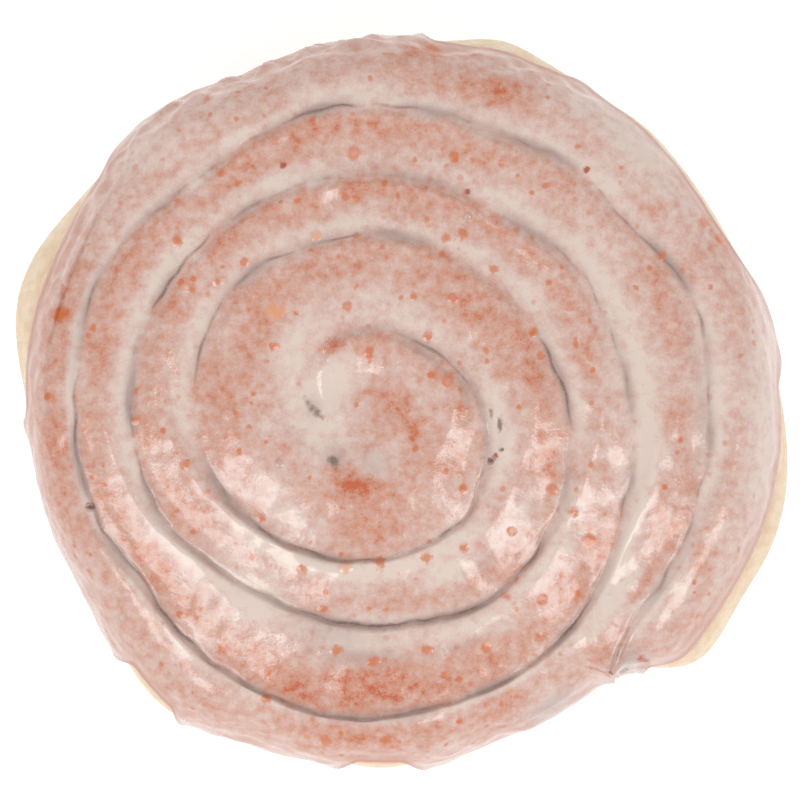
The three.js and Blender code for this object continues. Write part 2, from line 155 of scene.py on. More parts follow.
@dataclass(frozen=True)
class Winding:
    """The path of the strip: its faces' radii by wind angle, and where it begins and ends."""

    heart: tuple[float, float] = (-3.0, -2.3)
    sixth: float = 60.0
    face_radii: tuple[float, ...] = (
        *(13.0, 11.3, 9.7, 10.7, 13.6, 12.2),
        *(15.4, 19.7, 23.1, 27.6, 28.2, 26.4),
        *(28.2, 31.8, 31.7, 37.1, 36.6, 35.4),
        *(37.6, 43.4, 44.3, 45.5, 45.4, 46.6),
        *(49.4, 51.5, 53.2, 52.8, 56.2, 57.7),
        *(60.1, 58.1, 60.0),
    )
    heart_angle: float = 96.0
    heart_power: float = 0.75
    tail_angle: float = 1488.0
    taper: float = 13.5
    narrowest: float = 0.07
    press_at: float = 1480.0
    press_depth: float = 2.2
    press_before: float = 13.0
    press_past: float = 6.0
    gap: float = 1.3
    gap_opens: float = 40.0
    groove_start: float = 200.0
    emerge: float = 3.0
    wanders: tuple[Wander, ...] = ()

    @property
    def first_angle(self) -> float:
        """The wind angle of the heart's middle, two turns before the gap begins."""
        return self.heart_angle - 2.0 * TURN

    def read_radius(self, angle: Array) -> Array:
        """A smooth curve through the face radii, by Catmull-Rom."""
        table = np.array(self.face_radii)
        x = np.asarray(angle, float) / self.sixth
        i = np.clip(np.floor(x).astype(int), 1, len(table) - 3)
        f = x - i
        a, b, c, d = (table[i + k] for k in (-1, 0, 1, 2))
        return b + 0.5 * f * (c - a + f * (2 * a - 5 * b + 4 * c - d + f * (3 * (b - c) + d - a)))

    def face_radius(self, angle: Array) -> Array:
        """Radius of the gap's middle or, past the tail, of the open side; the heart closes on the middle."""
        angle = np.asarray(angle, float)
        share = np.clip((angle - self.heart_angle + TURN) / TURN, 0.0, 1.0)
        inner = self.read_radius(np.full_like(angle, self.heart_angle)) * share**self.heart_power
        spread = np.where(angle < self.press_at, self.press_before, self.press_past)
        wound = self.read_radius(angle) - self.press_depth * bell(angle - self.press_at, spread)
        for wander in self.wanders:
            wound += wander.out * bell(angle - wander.at, wander.spread)
        return np.where(angle < self.heart_angle, inner, wound)

    def half_gap(self, angle: Array) -> Array:
        """Half the gap at a wind angle: none in the heart or on the open side."""
        opened = smoothstep(angle, self.heart_angle, self.heart_angle + self.gap_opens)
        return np.where(np.asarray(angle) > self.tail_angle, 0.0, 0.5 * self.gap * opened)

    def exposure(self, angle: Array) -> Array:
        """How far the face is out in the open: 0 between turns, 1 on the outer side."""
        return smoothstep(angle, self.tail_angle, self.tail_angle + self.emerge)

    def open_share(self, angle: Array) -> Array:
        """The exposure of the strip's outer face, which is the face of the next turn."""
        return self.exposure(angle + TURN)

    def groove_share(self, angle: Array) -> Array:
        """Share of its depth that the groove over the gap has: 0 in the heart and past the tail."""
        begun = smoothstep(angle, self.heart_angle, self.heart_angle + self.groove_start)
        return begun * (1.0 - self.exposure(angle))

    def tail_share(self, angle: Array) -> Array:
        """How far the tail's tapering has gone: 0 before it, 1 at the end."""
        return smoothstep(angle, self.tail_angle - self.taper, self.tail_angle) ** 2

    def tail_width(self, angle: Array) -> Array:
        """Share of its width that the strip has left near the tail."""
        return lerp(1.0, self.narrowest, self.tail_share(angle))


class Bearing(Enum):
    """Which way round the outer side something lies, as a wind angle within one turn."""

    LEFT = 201.0
    RIGHT = 18.0
    TOP = 288.0
    TAIL = 36.0
    BOTTOM = 90.0
    LOWER_LEFT = 130.0
    UPPER_RIGHT = 322.0


@dataclass(frozen=True)
class Bulge:
    """Where the pale waist bulges out past the top, whose glaze stops at a slope angle there."""

    at: Bearing
    out: float
    spread: float
    edge: float = 16.0

    def reach(self, angle: Array) -> Array:
        """How far it comes out at a wind angle."""
        return self.out * bell(turn_between(self.at.value, angle), self.spread)


@dataclass(frozen=True)
class RollForm:
    """The roll's heights and its open side over the winding, in millimetres.

    The crests lie on a low dome. The level is how deep the glaze leaves a groove, and the lean is how much
    steeper one side of a groove is than the other. Slope angles say where on the side the top, the base and
    the glaze end.
    """

    winding: Winding = Winding()
    offset: tuple[float, float] = (0.0, 0.0)
    crest: float = 29.5
    dome_drop: float = 2.6
    dome_radius: float = 58.0
    sway: float = 0.45
    sway_x: float = 13.0
    sway_y: float = 17.0
    dimple: tuple[float, float, float, float] = (-10.0, 1.0, 1.3, 8.0)
    groove_depth: float = 3.2
    depth_lean: float = 0.2
    shoulder: float = 4.7
    shoulder_lean: float = 4.1
    lean_bearing: float = 90.0
    lean_spread: float = 1.8
    lean_back: float = 0.8
    shoulder_power: float = 1.4
    level: float = 1.1
    level_lean: float = 0.5
    level_at_heart: float = 0.15
    level_at_tail: float = 0.2
    tail_fills_from: float = 25.0
    tail_fills_to: float = 3.0
    heart_ends: float = 480.0
    tail_drop: float = 1.6
    foot_lift: float = 0.8
    foot_share: float = 0.15
    waist: float = 12.5
    side_round: float = 7.0
    base_round: float = 5.5
    side_power: float = 2.4
    top_ends: float = 58.0
    base_angle: float = -68.0
    bulges: tuple[Bulge, ...] = (
        Bulge(Bearing.LEFT, 4.6, 16.0),
        Bulge(Bearing.RIGHT, 3.6, 19.0),
        Bulge(Bearing.TOP, 2.6, 10.0),
        Bulge(Bearing.TAIL, 2.2, 7.5),
        Bulge(Bearing.BOTTOM, 1.3, 7.5, 30.0),
        Bulge(Bearing.LOWER_LEFT, 1.4, 8.0, 30.0),
        Bulge(Bearing.UPPER_RIGHT, 1.2, 26.0, 26.0),
    )
    bulge_height: float = 9.5
    bulge_tall: float = 5.0
    lumps: tuple[Wave, ...] = (
        Wave(3, 0.24, 182.0),
        Wave(4, 0.33, 336.0),
        Wave(6, 0.29, 73.0),
        Wave(8, 0.27, 98.0),
        Wave(10, 0.26, 286.0),
    )
    coat: float = 1.05
    drips: tuple[Wave, ...] = (
        Wave(5, 11.0, 40.0),
        Wave(9, 8.0, 200.0),
        Wave(23, 3.5, 10.0),
        Wave(41, 2.0, 90.0),
    )
    edge_angle: float = -26.0
    bare_from: float = 0.3

    def place(self, angle: Array, radius: Array, z: Array) -> Array:
        """The place at a wind angle, radius and height, as rows of three."""
        a = np.radians(angle)
        x = self.winding.heart[0] + self.offset[0] + radius * np.cos(a)
        y = self.winding.heart[1] + self.offset[1] - radius * np.sin(a)
        return np.stack(np.broadcast_arrays(x, y, z), axis=-1)

    def waist_radius(self, angle: Array) -> Array:
        """Radius of the open side's waist, which lies under the glaze by its thickness."""
        return self.winding.face_radius(angle) - self.coat + waves(self.lumps, angle)

    def strip_radii(self, angle: Array) -> tuple[Array, Array]:
        """Inner and outer radius of the strip at a wind angle."""
        w, next_turn = self.winding, angle + TURN
        inner = w.face_radius(angle) + w.half_gap(angle)
        at_gap = w.face_radius(next_turn) - w.half_gap(next_turn)
        outer = lerp(at_gap, self.waist_radius(next_turn), w.exposure(next_turn))
        return inner, lerp(inner, outer, w.tail_width(angle))

    def crest_height(self, angle: Array, radius: Array) -> Array:
        """Height of the crests: a low dome with a slow sway and a dimple at the heart."""
        a = np.radians(angle)
        x = self.winding.heart[0] + radius * np.cos(a)
        y = self.winding.heart[1] - radius * np.sin(a)
        dome = self.dome_drop * (radius / self.dome_radius) ** 2
        sway = self.sway * np.sin(x / self.sway_x) * np.cos(y / self.sway_y)
        dx, dy, depth, spread = self.dimple
        dimple = depth * bell(np.hypot(x - dx, y - dy), spread)
        return self.crest - dome + sway - dimple - self.tail_drop * self.winding.tail_share(angle)

    def lean(self, angle: Array) -> Array:
        """How the strips lean: 1 where each is steep beside its inner groove, -1 beside its outer one."""
        facing = np.cos(np.radians(angle - self.lean_bearing))
        lean = np.tanh(self.lean_spread * facing) / np.tanh(self.lean_spread)
        return np.where(lean < 0.0, self.lean_back * lean, lean)

    def groove_fall(self, gap_angle: Array, distance: Array, outside: bool, glazed: bool) -> Array:
        """How far the top falls beside a gap: its depth times (1 - distance / shoulder) to a power.

        Glaze ran in and levels it: a fall f becomes level x (1 - exp(-f / level)).

        Args:
            gap_angle: The gap's wind angle.
            distance: How far away the gap is.
            outside: Whether the place lies outside the gap, where the shoulder narrows with the lean.
            glazed: Whether the fall is the glaze's.

        Returns:
            The fall at each place.
        """
        w, lean = self.winding, self.lean(gap_angle)
        shoulder = self.shoulder + self.shoulder_lean * (-lean if outside else lean)
        share = np.clip(1.0 - distance / shoulder, 0.0, 1.0)
        depth = w.groove_share(gap_angle) * (self.groove_depth + self.depth_lean * lean)
        fall = depth * share**self.shoulder_power
        if not glazed:
            return fall
        wound = lerp(self.level_at_heart, 1.0, smoothstep(gap_angle, w.heart_angle, self.heart_ends))
        fills = w.tail_angle - self.tail_fills_from, w.tail_angle - self.tail_fills_to
        filled = lerp(1.0, self.level_at_tail, smoothstep(gap_angle, *fills))
        level = self.level * np.exp(self.level_lean * lean) * wound * filled
        return level * (1.0 - np.exp(-fall / level))

    def groove_falls(self, angle: Array, radius: Array, glazed: bool = False) -> Array:
        """How far the top falls beside the grooves on both sides of the strip."""
        w, next_turn = self.winding, angle + TURN
        inner = self.groove_fall(angle, radius - w.face_radius(angle), True, glazed)
        outer = self.groove_fall(next_turn, w.face_radius(next_turn) - radius, False, glazed)
        return inner + outer * (1.0 - w.open_share(angle))

    def side_rounds(self, angle: Array) -> tuple[Array, Array]:
        """How far the side rounds inwards above and below the waist; less at the tail."""
        width = self.winding.tail_width(angle)
        return self.side_round * width, self.base_round * width

    def uncut_height(self, angle: Array, radius: Array) -> Array:
        """Height of the top without its grooves: the dome, rounded down over the open side."""
        crest = self.crest_height(angle, radius)
        to_waist = self.strip_radii(angle)[1] - radius
        inwards = np.clip(1.0 - to_waist / self.side_rounds(angle)[0], 0.0, 1.0)
        share = (1.0 - inwards**self.side_power) ** (1.0 / self.side_power)
        over_side = self.waist + (crest - self.waist) * share
        return lerp(crest, over_side, self.winding.open_share(angle))

    def top_height(self, angle: Array, radius: Array) -> Array:
        """Height of the dough's top at a wind angle and radius."""
        return self.uncut_height(angle, radius) - self.groove_falls(angle, radius)

    def waist_bulge(self, angle: Array, z: Array) -> Array:
        """How far the bare waist bulges out at a wind angle and height."""
        out = sum(bulge.reach(angle) for bulge in self.bulges)
        return out * bell(z - self.bulge_height, self.bulge_tall)

    def side_profile(self, angle: Array, slope: Array, waist: Array) -> tuple[Array, Array]:
        """Radius and height on the open side by slope angle, which is 90 at the crest and 0 at the waist.

        The profile is a superellipse, taller above the waist than below it, with the bulges added.
        """
        above, below = self.side_rounds(angle)
        a = np.radians(slope)
        inwards = 1.0 - signed_power(np.cos(a), 2.0 / self.side_power)
        radius = waist - np.where(slope > 0, above, below) * inwards
        tall = np.where(slope > 0, self.crest_height(angle, radius) - self.waist, self.waist)
        z = self.waist + tall * signed_power(np.sin(a), 2.0 / self.side_power)
        return radius + self.waist_bulge(angle, z), z

    def outer_edge(self, angle: Array, slope: float, outer: Array) -> Array:
        """Radius of the strip's outer edge, where its top or its base meets the side."""
        profile = self.side_profile(angle, np.full_like(angle, slope), outer)[0]
        return lerp(outer, profile, self.winding.open_share(angle))

    def glaze_edge(self, angle: Array) -> Array:
        """Slope angle on the side where the glaze stops, with drips between the bare bulges."""
        edge = self.edge_angle + waves(self.drips, angle)
        for bulge in self.bulges:
            bare = smoothstep(bulge.reach(angle), self.bare_from, self.coat)
            edge = lerp(edge, np.maximum(edge, bulge.edge), bare)
        return edge


# ---- Meshes --------------------


def quads(a: Array, b: Array, c: Array, d: Array) -> Array:
    """Two triangles for each four corners, given in order round the outside."""
    first = np.stack([a, b, c], axis=-1).reshape(-1, 3)
    second = np.stack([a, c, d], axis=-1).reshape(-1, 3)
    return np.concatenate([first, second])


def without_slivers(faces: Array) -> Array:
    """The triangles whose three corners differ."""
    a, b, c = faces.T
    return faces[(a != b) & (b != c) & (c != a)]


def into_scene(name: str, data: bpy.types.ID) -> bpy.types.Object:
    """Put a mesh, a light or a camera into the scene."""
    thing = bpy.data.objects.new(name, data)
    bpy.context.scene.collection.objects.link(thing)
    return thing


def make_piece(
    name: str,
    points: Array,
    faces: Array,
    material: bpy.types.Material,
    values: dict[str, Array] | None = None,
) -> bpy.types.Object:
    """Put a triangle mesh into the scene.

    Args:
        name: The piece's name.
        points: Places in millimetres, as rows of three.
        faces: Place numbers, as rows of three.
        material: The material of the whole piece.
        values: Named values for each place, which the material reads: numbers, vectors or colours.

    Returns:
        The new object, at the origin.
    """
    used, faces = np.unique(without_slivers(faces), return_inverse=True)
    faces = faces.reshape(-1, 3)
    mesh = bpy.data.meshes.new(name)
    mesh.vertices.add(len(used))
    mesh.vertices.foreach_set("co", (points[used] * MM).astype(np.float32).ravel())
    mesh.loops.add(faces.size)
    mesh.loops.foreach_set("vertex_index", faces.astype(np.int32).ravel())
    mesh.polygons.add(len(faces))
    mesh.polygons.foreach_set("loop_start", np.arange(0, faces.size, 3, dtype=np.int32))
    mesh.polygons.foreach_set("use_smooth", np.ones(len(faces), dtype=bool))
    mesh.update(calc_edges=True)
    kinds = {1: ("FLOAT", "value"), 3: ("FLOAT_VECTOR", "vector"), 4: ("FLOAT_COLOR", "color")}
    for key, value in (values or {}).items():
        kind, field = kinds[value.size // len(value)]
        attribute = mesh.attributes.new(key, kind, "POINT")
        attribute.data.foreach_set(field, value[used].astype(np.float32).ravel())
    mesh.validate()
    mesh.materials.append(material)
    return into_scene(name, mesh)


@dataclass(frozen=True)
class StripGrid:
    """The stations along the strip, the columns across it and the rows down its open side.

    Stations run from the middle of the heart to the tail. The first turn's inner face is the middle itself,
    so that the heart has no hole. Places that two turns share have one place number.
    """

    winding: Winding
    per_turn: int
    across: Array
    rows: int

    @property
    def last(self) -> int:
        """The number of the tail's station."""
        w = self.winding
        return round((w.tail_angle - w.first_angle) * self.per_turn / TURN)

    @property
    def columns(self) -> int:
        """The number of the strip's last column."""
        return len(self.across) - 1

    def angle(self, station: Array) -> Array:
        """Wind angle of a station."""
        return self.winding.first_angle + np.asarray(station) * TURN / self.per_turn

    @property
    def angles(self) -> Array:
        """Wind angle of every station, as a column."""
        return self.angle(np.arange(self.last + 1))[:, None]

    def numbers(self, joined_to: int) -> Array:
        """Place numbers by station and column.

        Args:
            joined_to: The last station whose first column is one with the turn inside it.
        """
        shape = (self.last + 1, self.columns + 1)
        numbers = np.arange(shape[0] * shape[1]).reshape(shape)
        shared = np.arange(max(0, joined_to - self.per_turn + 1))
        numbers[shared, self.columns] = numbers[shared + self.per_turn, 0]
        middle = np.arange(self.per_turn + 1)
        numbers[middle, 0] = numbers[0, 0]
        numbers[0, :] = numbers[0, 0]
        return numbers


def grid_faces(numbers: Array) -> Array:
    """The triangles of a grid of place numbers, facing the eye that sees its columns run to the right."""
    return quads(numbers[:-1, :-1], numbers[1:, :-1], numbers[1:, 1:], numbers[:-1, 1:])


def ring_faces(rows: Array) -> Array:
    """The triangles of rows of place numbers that each close round."""
    return grid_faces(np.hstack([rows, rows[:, :1]]))


def wall_rows(loop: Array, count: int, first: int) -> Array:
    """A closed loop of place numbers, and below it rows of new places as many as asked for.

    The loop's last place is its first one, and the rows leave it out.
    """
    length = len(loop) - 1
    return np.vstack([loop[None, :-1], first + np.arange(count * length).reshape(count, length)])


def zip_loops(fine: Array, fine_at: Array, coarse: Array, coarse_at: Array) -> Array:
    """Triangles between two closed loops that run side by side, one with more places than the other.

    Each fine edge goes to the coarse place nearest to its middle, and each coarse edge to the fine place
    where that changes.

    Args:
        fine: Place numbers of the loop with more places.
        fine_at: How far along each of them is, from 0 and rising.
        coarse: Place numbers of the other loop.
        coarse_at: How far along each of those is.
    """
    halfway = 0.5 * (coarse_at[1:] + coarse_at[:-1])
    middles = 0.5 * (fine_at[1:] + fine_at[:-1])
    nearest = np.searchsorted(halfway, middles)
    from_fine = np.stack([fine[1:], fine[:-1], coarse[nearest]], axis=-1)
    change = np.searchsorted(middles, halfway, side="right")
    from_coarse = np.stack([fine[change], coarse[:-1], coarse[1:]], axis=-1)
    return np.concatenate([from_fine, from_coarse])


@dataclass(frozen=True)
class Ripple:
    """One size of unevenness in a surface: its lumps' width and height, and its pattern's seed."""

    size: float
    height: float
    seed: int


def relief(points: Array, *ripples: Ripple) -> Array:
    """The sum of the ripples' noises at each place, in millimetres."""
    flat = points.reshape(-1, 3)
    total = sum(r.height * noise(flat, r.size, r.seed) for r in ripples)
    return total.reshape(points.shape[:-1])


@dataclass(frozen=True)
class Patch:
    """A stretch of the top where something is stronger: its middle, half sizes and strength."""

    x: float
    y: float
    along: float
    across: float
    strength: float


def patched(patches: tuple[Patch, ...], form: RollForm, points: Array) -> Array:
    """How strong the strongest patch is at each place.

    A patch bends round the heart with the strip: its value is a bell of the way along the turn, over its
    length, times a bell of the way out from the heart, over its width.
    """
    x = points[..., 0] - form.offset[0] - form.winding.heart[0]
    y = points[..., 1] - form.offset[1] - form.winding.heart[1]
    radius, angle = np.hypot(x, y), np.degrees(np.arctan2(y, x))
    total = np.zeros(radius.shape)
    for patch in patches:
        dx, dy = patch.x - form.winding.heart[0], patch.y - form.winding.heart[1]
        middle = np.hypot(dx, dy)
        along = np.radians(turn_between(np.degrees(np.arctan2(dy, dx)), angle)) * middle
        value = patch.strength * bell(along, patch.along) * bell(radius - middle, patch.across)
        total = np.maximum(total, value)
    return total


# ---- Finishes --------------------


Colour = tuple[float, float, float, float]
Node = bpy.types.Node
Socket = bpy.types.NodeSocket
Value = Socket | float


def srgb(red: int, green: int, blue: int) -> Colour:
    """A screen colour, 0 to 255, as the linear values that a shader takes."""
    shares = (c / 255.0 for c in (red, green, blue))
    linear = (s / 12.92 if s <= 0.04045 else ((s + 0.055) / 1.055) ** 2.4 for s in shares)
    return (*linear, 1.0)


class Shader:
    """A material whose nodes are added one by one, with lengths in millimetres."""

    def __init__(self, name: str) -> None:
        """Start a material with no nodes but its output and the place in millimetres."""
        self.material = bpy.data.materials.new(name)
        self.material.use_nodes = True
        self.tree = self.material.node_tree
        self.tree.nodes.clear()
        self.output = self.node("ShaderNodeOutputMaterial")
        scale = self.node("ShaderNodeVectorMath", {"Scale": 1.0 / MM}, operation="SCALE")
        self.plug(scale.inputs[0], self.node("ShaderNodeTexCoord").outputs["Object"])
        self.place = scale.outputs[0]

    def node(self, kind: str, inputs: dict[str | int, object] | None = None, **settings: str | bool) -> Node:
        """Add a node with its settings, and plug in its inputs by name or by number."""
        node = self.tree.nodes.new(kind)
        for key, value in settings.items():
            setattr(node, key, value)
        for key, value in (inputs or {}).items():
            self.plug(node.inputs[key], value)
        return node

    def plug(self, socket: Socket, value: Value | Colour) -> None:
        """Link a socket to a node's output, or give it a value."""
        if isinstance(value, Socket):
            self.tree.links.new(value, socket)
        else:
            socket.default_value = value

    def attribute(self, name: str, output: str = "Fac") -> Socket:
        """A value, Vector or Color that the mesh carries."""
        return self.node("ShaderNodeAttribute", attribute_name=name).outputs[output]

    def split(self, vector: Socket) -> tuple[Socket, Socket, Socket]:
        """The three numbers of a vector."""
        node = self.node("ShaderNodeSeparateXYZ", {0: vector})
        return node.outputs["X"], node.outputs["Y"], node.outputs["Z"]

    def height(self) -> Socket:
        """Height above the underside."""
        return self.split(self.place)[2]

    def math(self, operation: str, a: Value, b: Value) -> Socket:
        """Work out one value from two."""
        return self.node("ShaderNodeMath", {0: a, 1: b}, operation=operation).outputs[0]

    def times(self, a: Value, b: Value) -> Socket:
        """One value times another."""
        return self.math("MULTIPLY", a, b)

    def rest(self, value: Socket) -> Socket:
        """What a value leaves of 1."""
        return self.math("SUBTRACT", 1.0, value)

    def total(self, *parts: tuple[Socket, float]) -> Socket:
        """The sum of values, each times its weight."""
        sockets = [self.times(value, weight) for value, weight in parts]
        result = sockets[0]
        for socket in sockets[1:]:
            result = self.math("ADD", result, socket)
        return result

    def ease(self, value: Socket, low: float, high: float, start: float = 0.0, end: float = 1.0) -> Socket:
        """Go smoothly from start to end as a value goes from low to high."""
        inputs = {"Value": value, "From Min": low, "From Max": high, "To Min": start, "To Max": end}
        return self.node("ShaderNodeMapRange", inputs, interpolation_type="SMOOTHSTEP").outputs[0]

    def fade(self, value: Socket, low: float, high: float) -> Socket:
        """Go smoothly from 1 to 0 as a value goes from low to high."""
        return self.ease(value, low, high, 1.0, 0.0)

    def noise(self, size: float, detail: float = 2.0, roughness: float = 0.5, shift: float = 0.0) -> Socket:
        """Noise round 0, its lumps as wide as the size given."""
        place = self.place
        if shift:
            moved = self.node("ShaderNodeVectorMath", {0: place, 1: (shift,) * 3}, operation="ADD")
            place = moved.outputs[0]
        inputs = {"Vector": place, "Scale": 1.0 / size, "Detail": detail, "Roughness": roughness}
        node = self.node("ShaderNodeTexNoise", inputs, noise_dimensions="3D")
        return self.math("SUBTRACT", node.outputs[0], 0.5)

    def cells(self, size: float) -> tuple[Socket, Socket]:
        """Scattered points: how far the nearest is, in cell widths, and a random value of its own."""
        inputs = {"Vector": self.place, "Scale": 1.0 / size}
        node = self.node("ShaderNodeTexVoronoi", inputs, voronoi_dimensions="3D", feature="F1")
        split = self.node("ShaderNodeSeparateColor", {0: node.outputs["Color"]})
        return node.outputs["Distance"], split.outputs[0]

    def mix(self, share: Socket, a: Socket | Colour, b: Socket | Colour) -> Socket:
        """Go from one colour to another by a share."""
        inputs = {"Factor": share, 6: a, 7: b}
        return self.node("ShaderNodeMix", inputs, data_type="RGBA", clamp_factor=True).outputs[2]

    def ramp(self, value: Socket, stops: tuple[tuple[float, Colour], ...]) -> Socket:
        """A colour read off along stops."""
        node = self.node("ShaderNodeValToRGB", {0: value})
        elements = node.color_ramp.elements
        elements.remove(elements[1])
        elements[0].position, elements[0].color = stops[0]
        for at, colour in stops[1:]:
            elements.new(at).color = colour
        return node.outputs[0]

    def bump(self, height: Socket) -> Socket:
        """Normals of a fine relief, whose height is given in millimetres."""
        return self.node("ShaderNodeBump", {"Strength": 1.0, "Distance": MM, "Height": height}).outputs[0]

    def surface(self, **inputs: Value | Colour) -> bpy.types.Material:
        """Finish with a principled surface, its inputs given by name with _ for a space."""
        named = {key.replace("_", " "): value for key, value in inputs.items()}
        principled = self.node("ShaderNodeBsdfPrincipled", named)
        self.plug(self.output.inputs["Surface"], principled.outputs[0])
        return self.material


@dataclass(frozen=True)
class SpotLook:
    """How a spot in the glaze looks.

    It has a colour and that colour's strength, a height in millimetres, a share of the colour that its
    middle lacks, and a raggedness of its edge.
    """

    colour: Colour
    strength: float
    height: float
    hollow: float
    ragged: float


class SpotKind(Enum):
    """What a spot in the glaze is, where crust or filling shows or a bubble stands."""

    PALE = SpotLook(srgb(240, 164, 116), 0.8, 0.16, 0.4, 1.0)
    ORANGE = SpotLook(srgb(214, 112, 54), 0.85, 0.08, 0.2, 1.2)
    RED = SpotLook(srgb(178, 76, 46), 0.9, 0.05, 0.0, 1.0)
    RING = SpotLook(srgb(218, 112, 62), 0.95, 0.16, 0.6, 0.5)
    DARK = SpotLook(srgb(118, 66, 54), 0.9, -0.25, 0.0, 0.9)
    BUBBLE = SpotLook(srgb(196, 156, 144), 0.8, 0.2, 1.0, 0.2)


@dataclass(frozen=True)
class Spot:
    """A spot in the glaze, by its place in the roll's own plan, its radius and its kind."""

    x: float
    y: float
    radius: float
    kind: SpotKind


def spot_values(spots: tuple[Spot, ...], form: RollForm, points: Array) -> dict[str, Array]:
    """What each place knows of the spot nearest to it.

    Returns:
        The way from the spot's middle in its radii, with its length as third number; the spot's colour, with
        its strength as fourth number; and its height, hollow and raggedness.
    """
    x, y = points[:, 0] - form.offset[0], points[:, 1] - form.offset[1]
    middles = np.array([(spot.x, spot.y, spot.radius) for spot in spots])
    nearest, reach = np.zeros(len(x), int), np.full(len(x), np.inf)
    for number, (spot_x, spot_y, radius) in enumerate(middles):
        away = np.hypot(x - spot_x, y - spot_y) / radius
        closer = away < reach
        nearest[closer], reach[closer] = number, away[closer]
    near = middles[nearest]
    looks = [spot.kind.value for spot in spots]
    colours = np.array([(*look.colour[:3], look.strength) for look in looks])
    forms = np.array([(look.height, look.hollow, look.ragged) for look in looks])
    return {
        "spot_way": np.stack([(x - near[:, 0]) / near[:, 2], (y - near[:, 1]) / near[:, 2], reach], axis=-1),
        "spot_colour": colours[nearest],
        "spot_form": forms[nearest],
    }


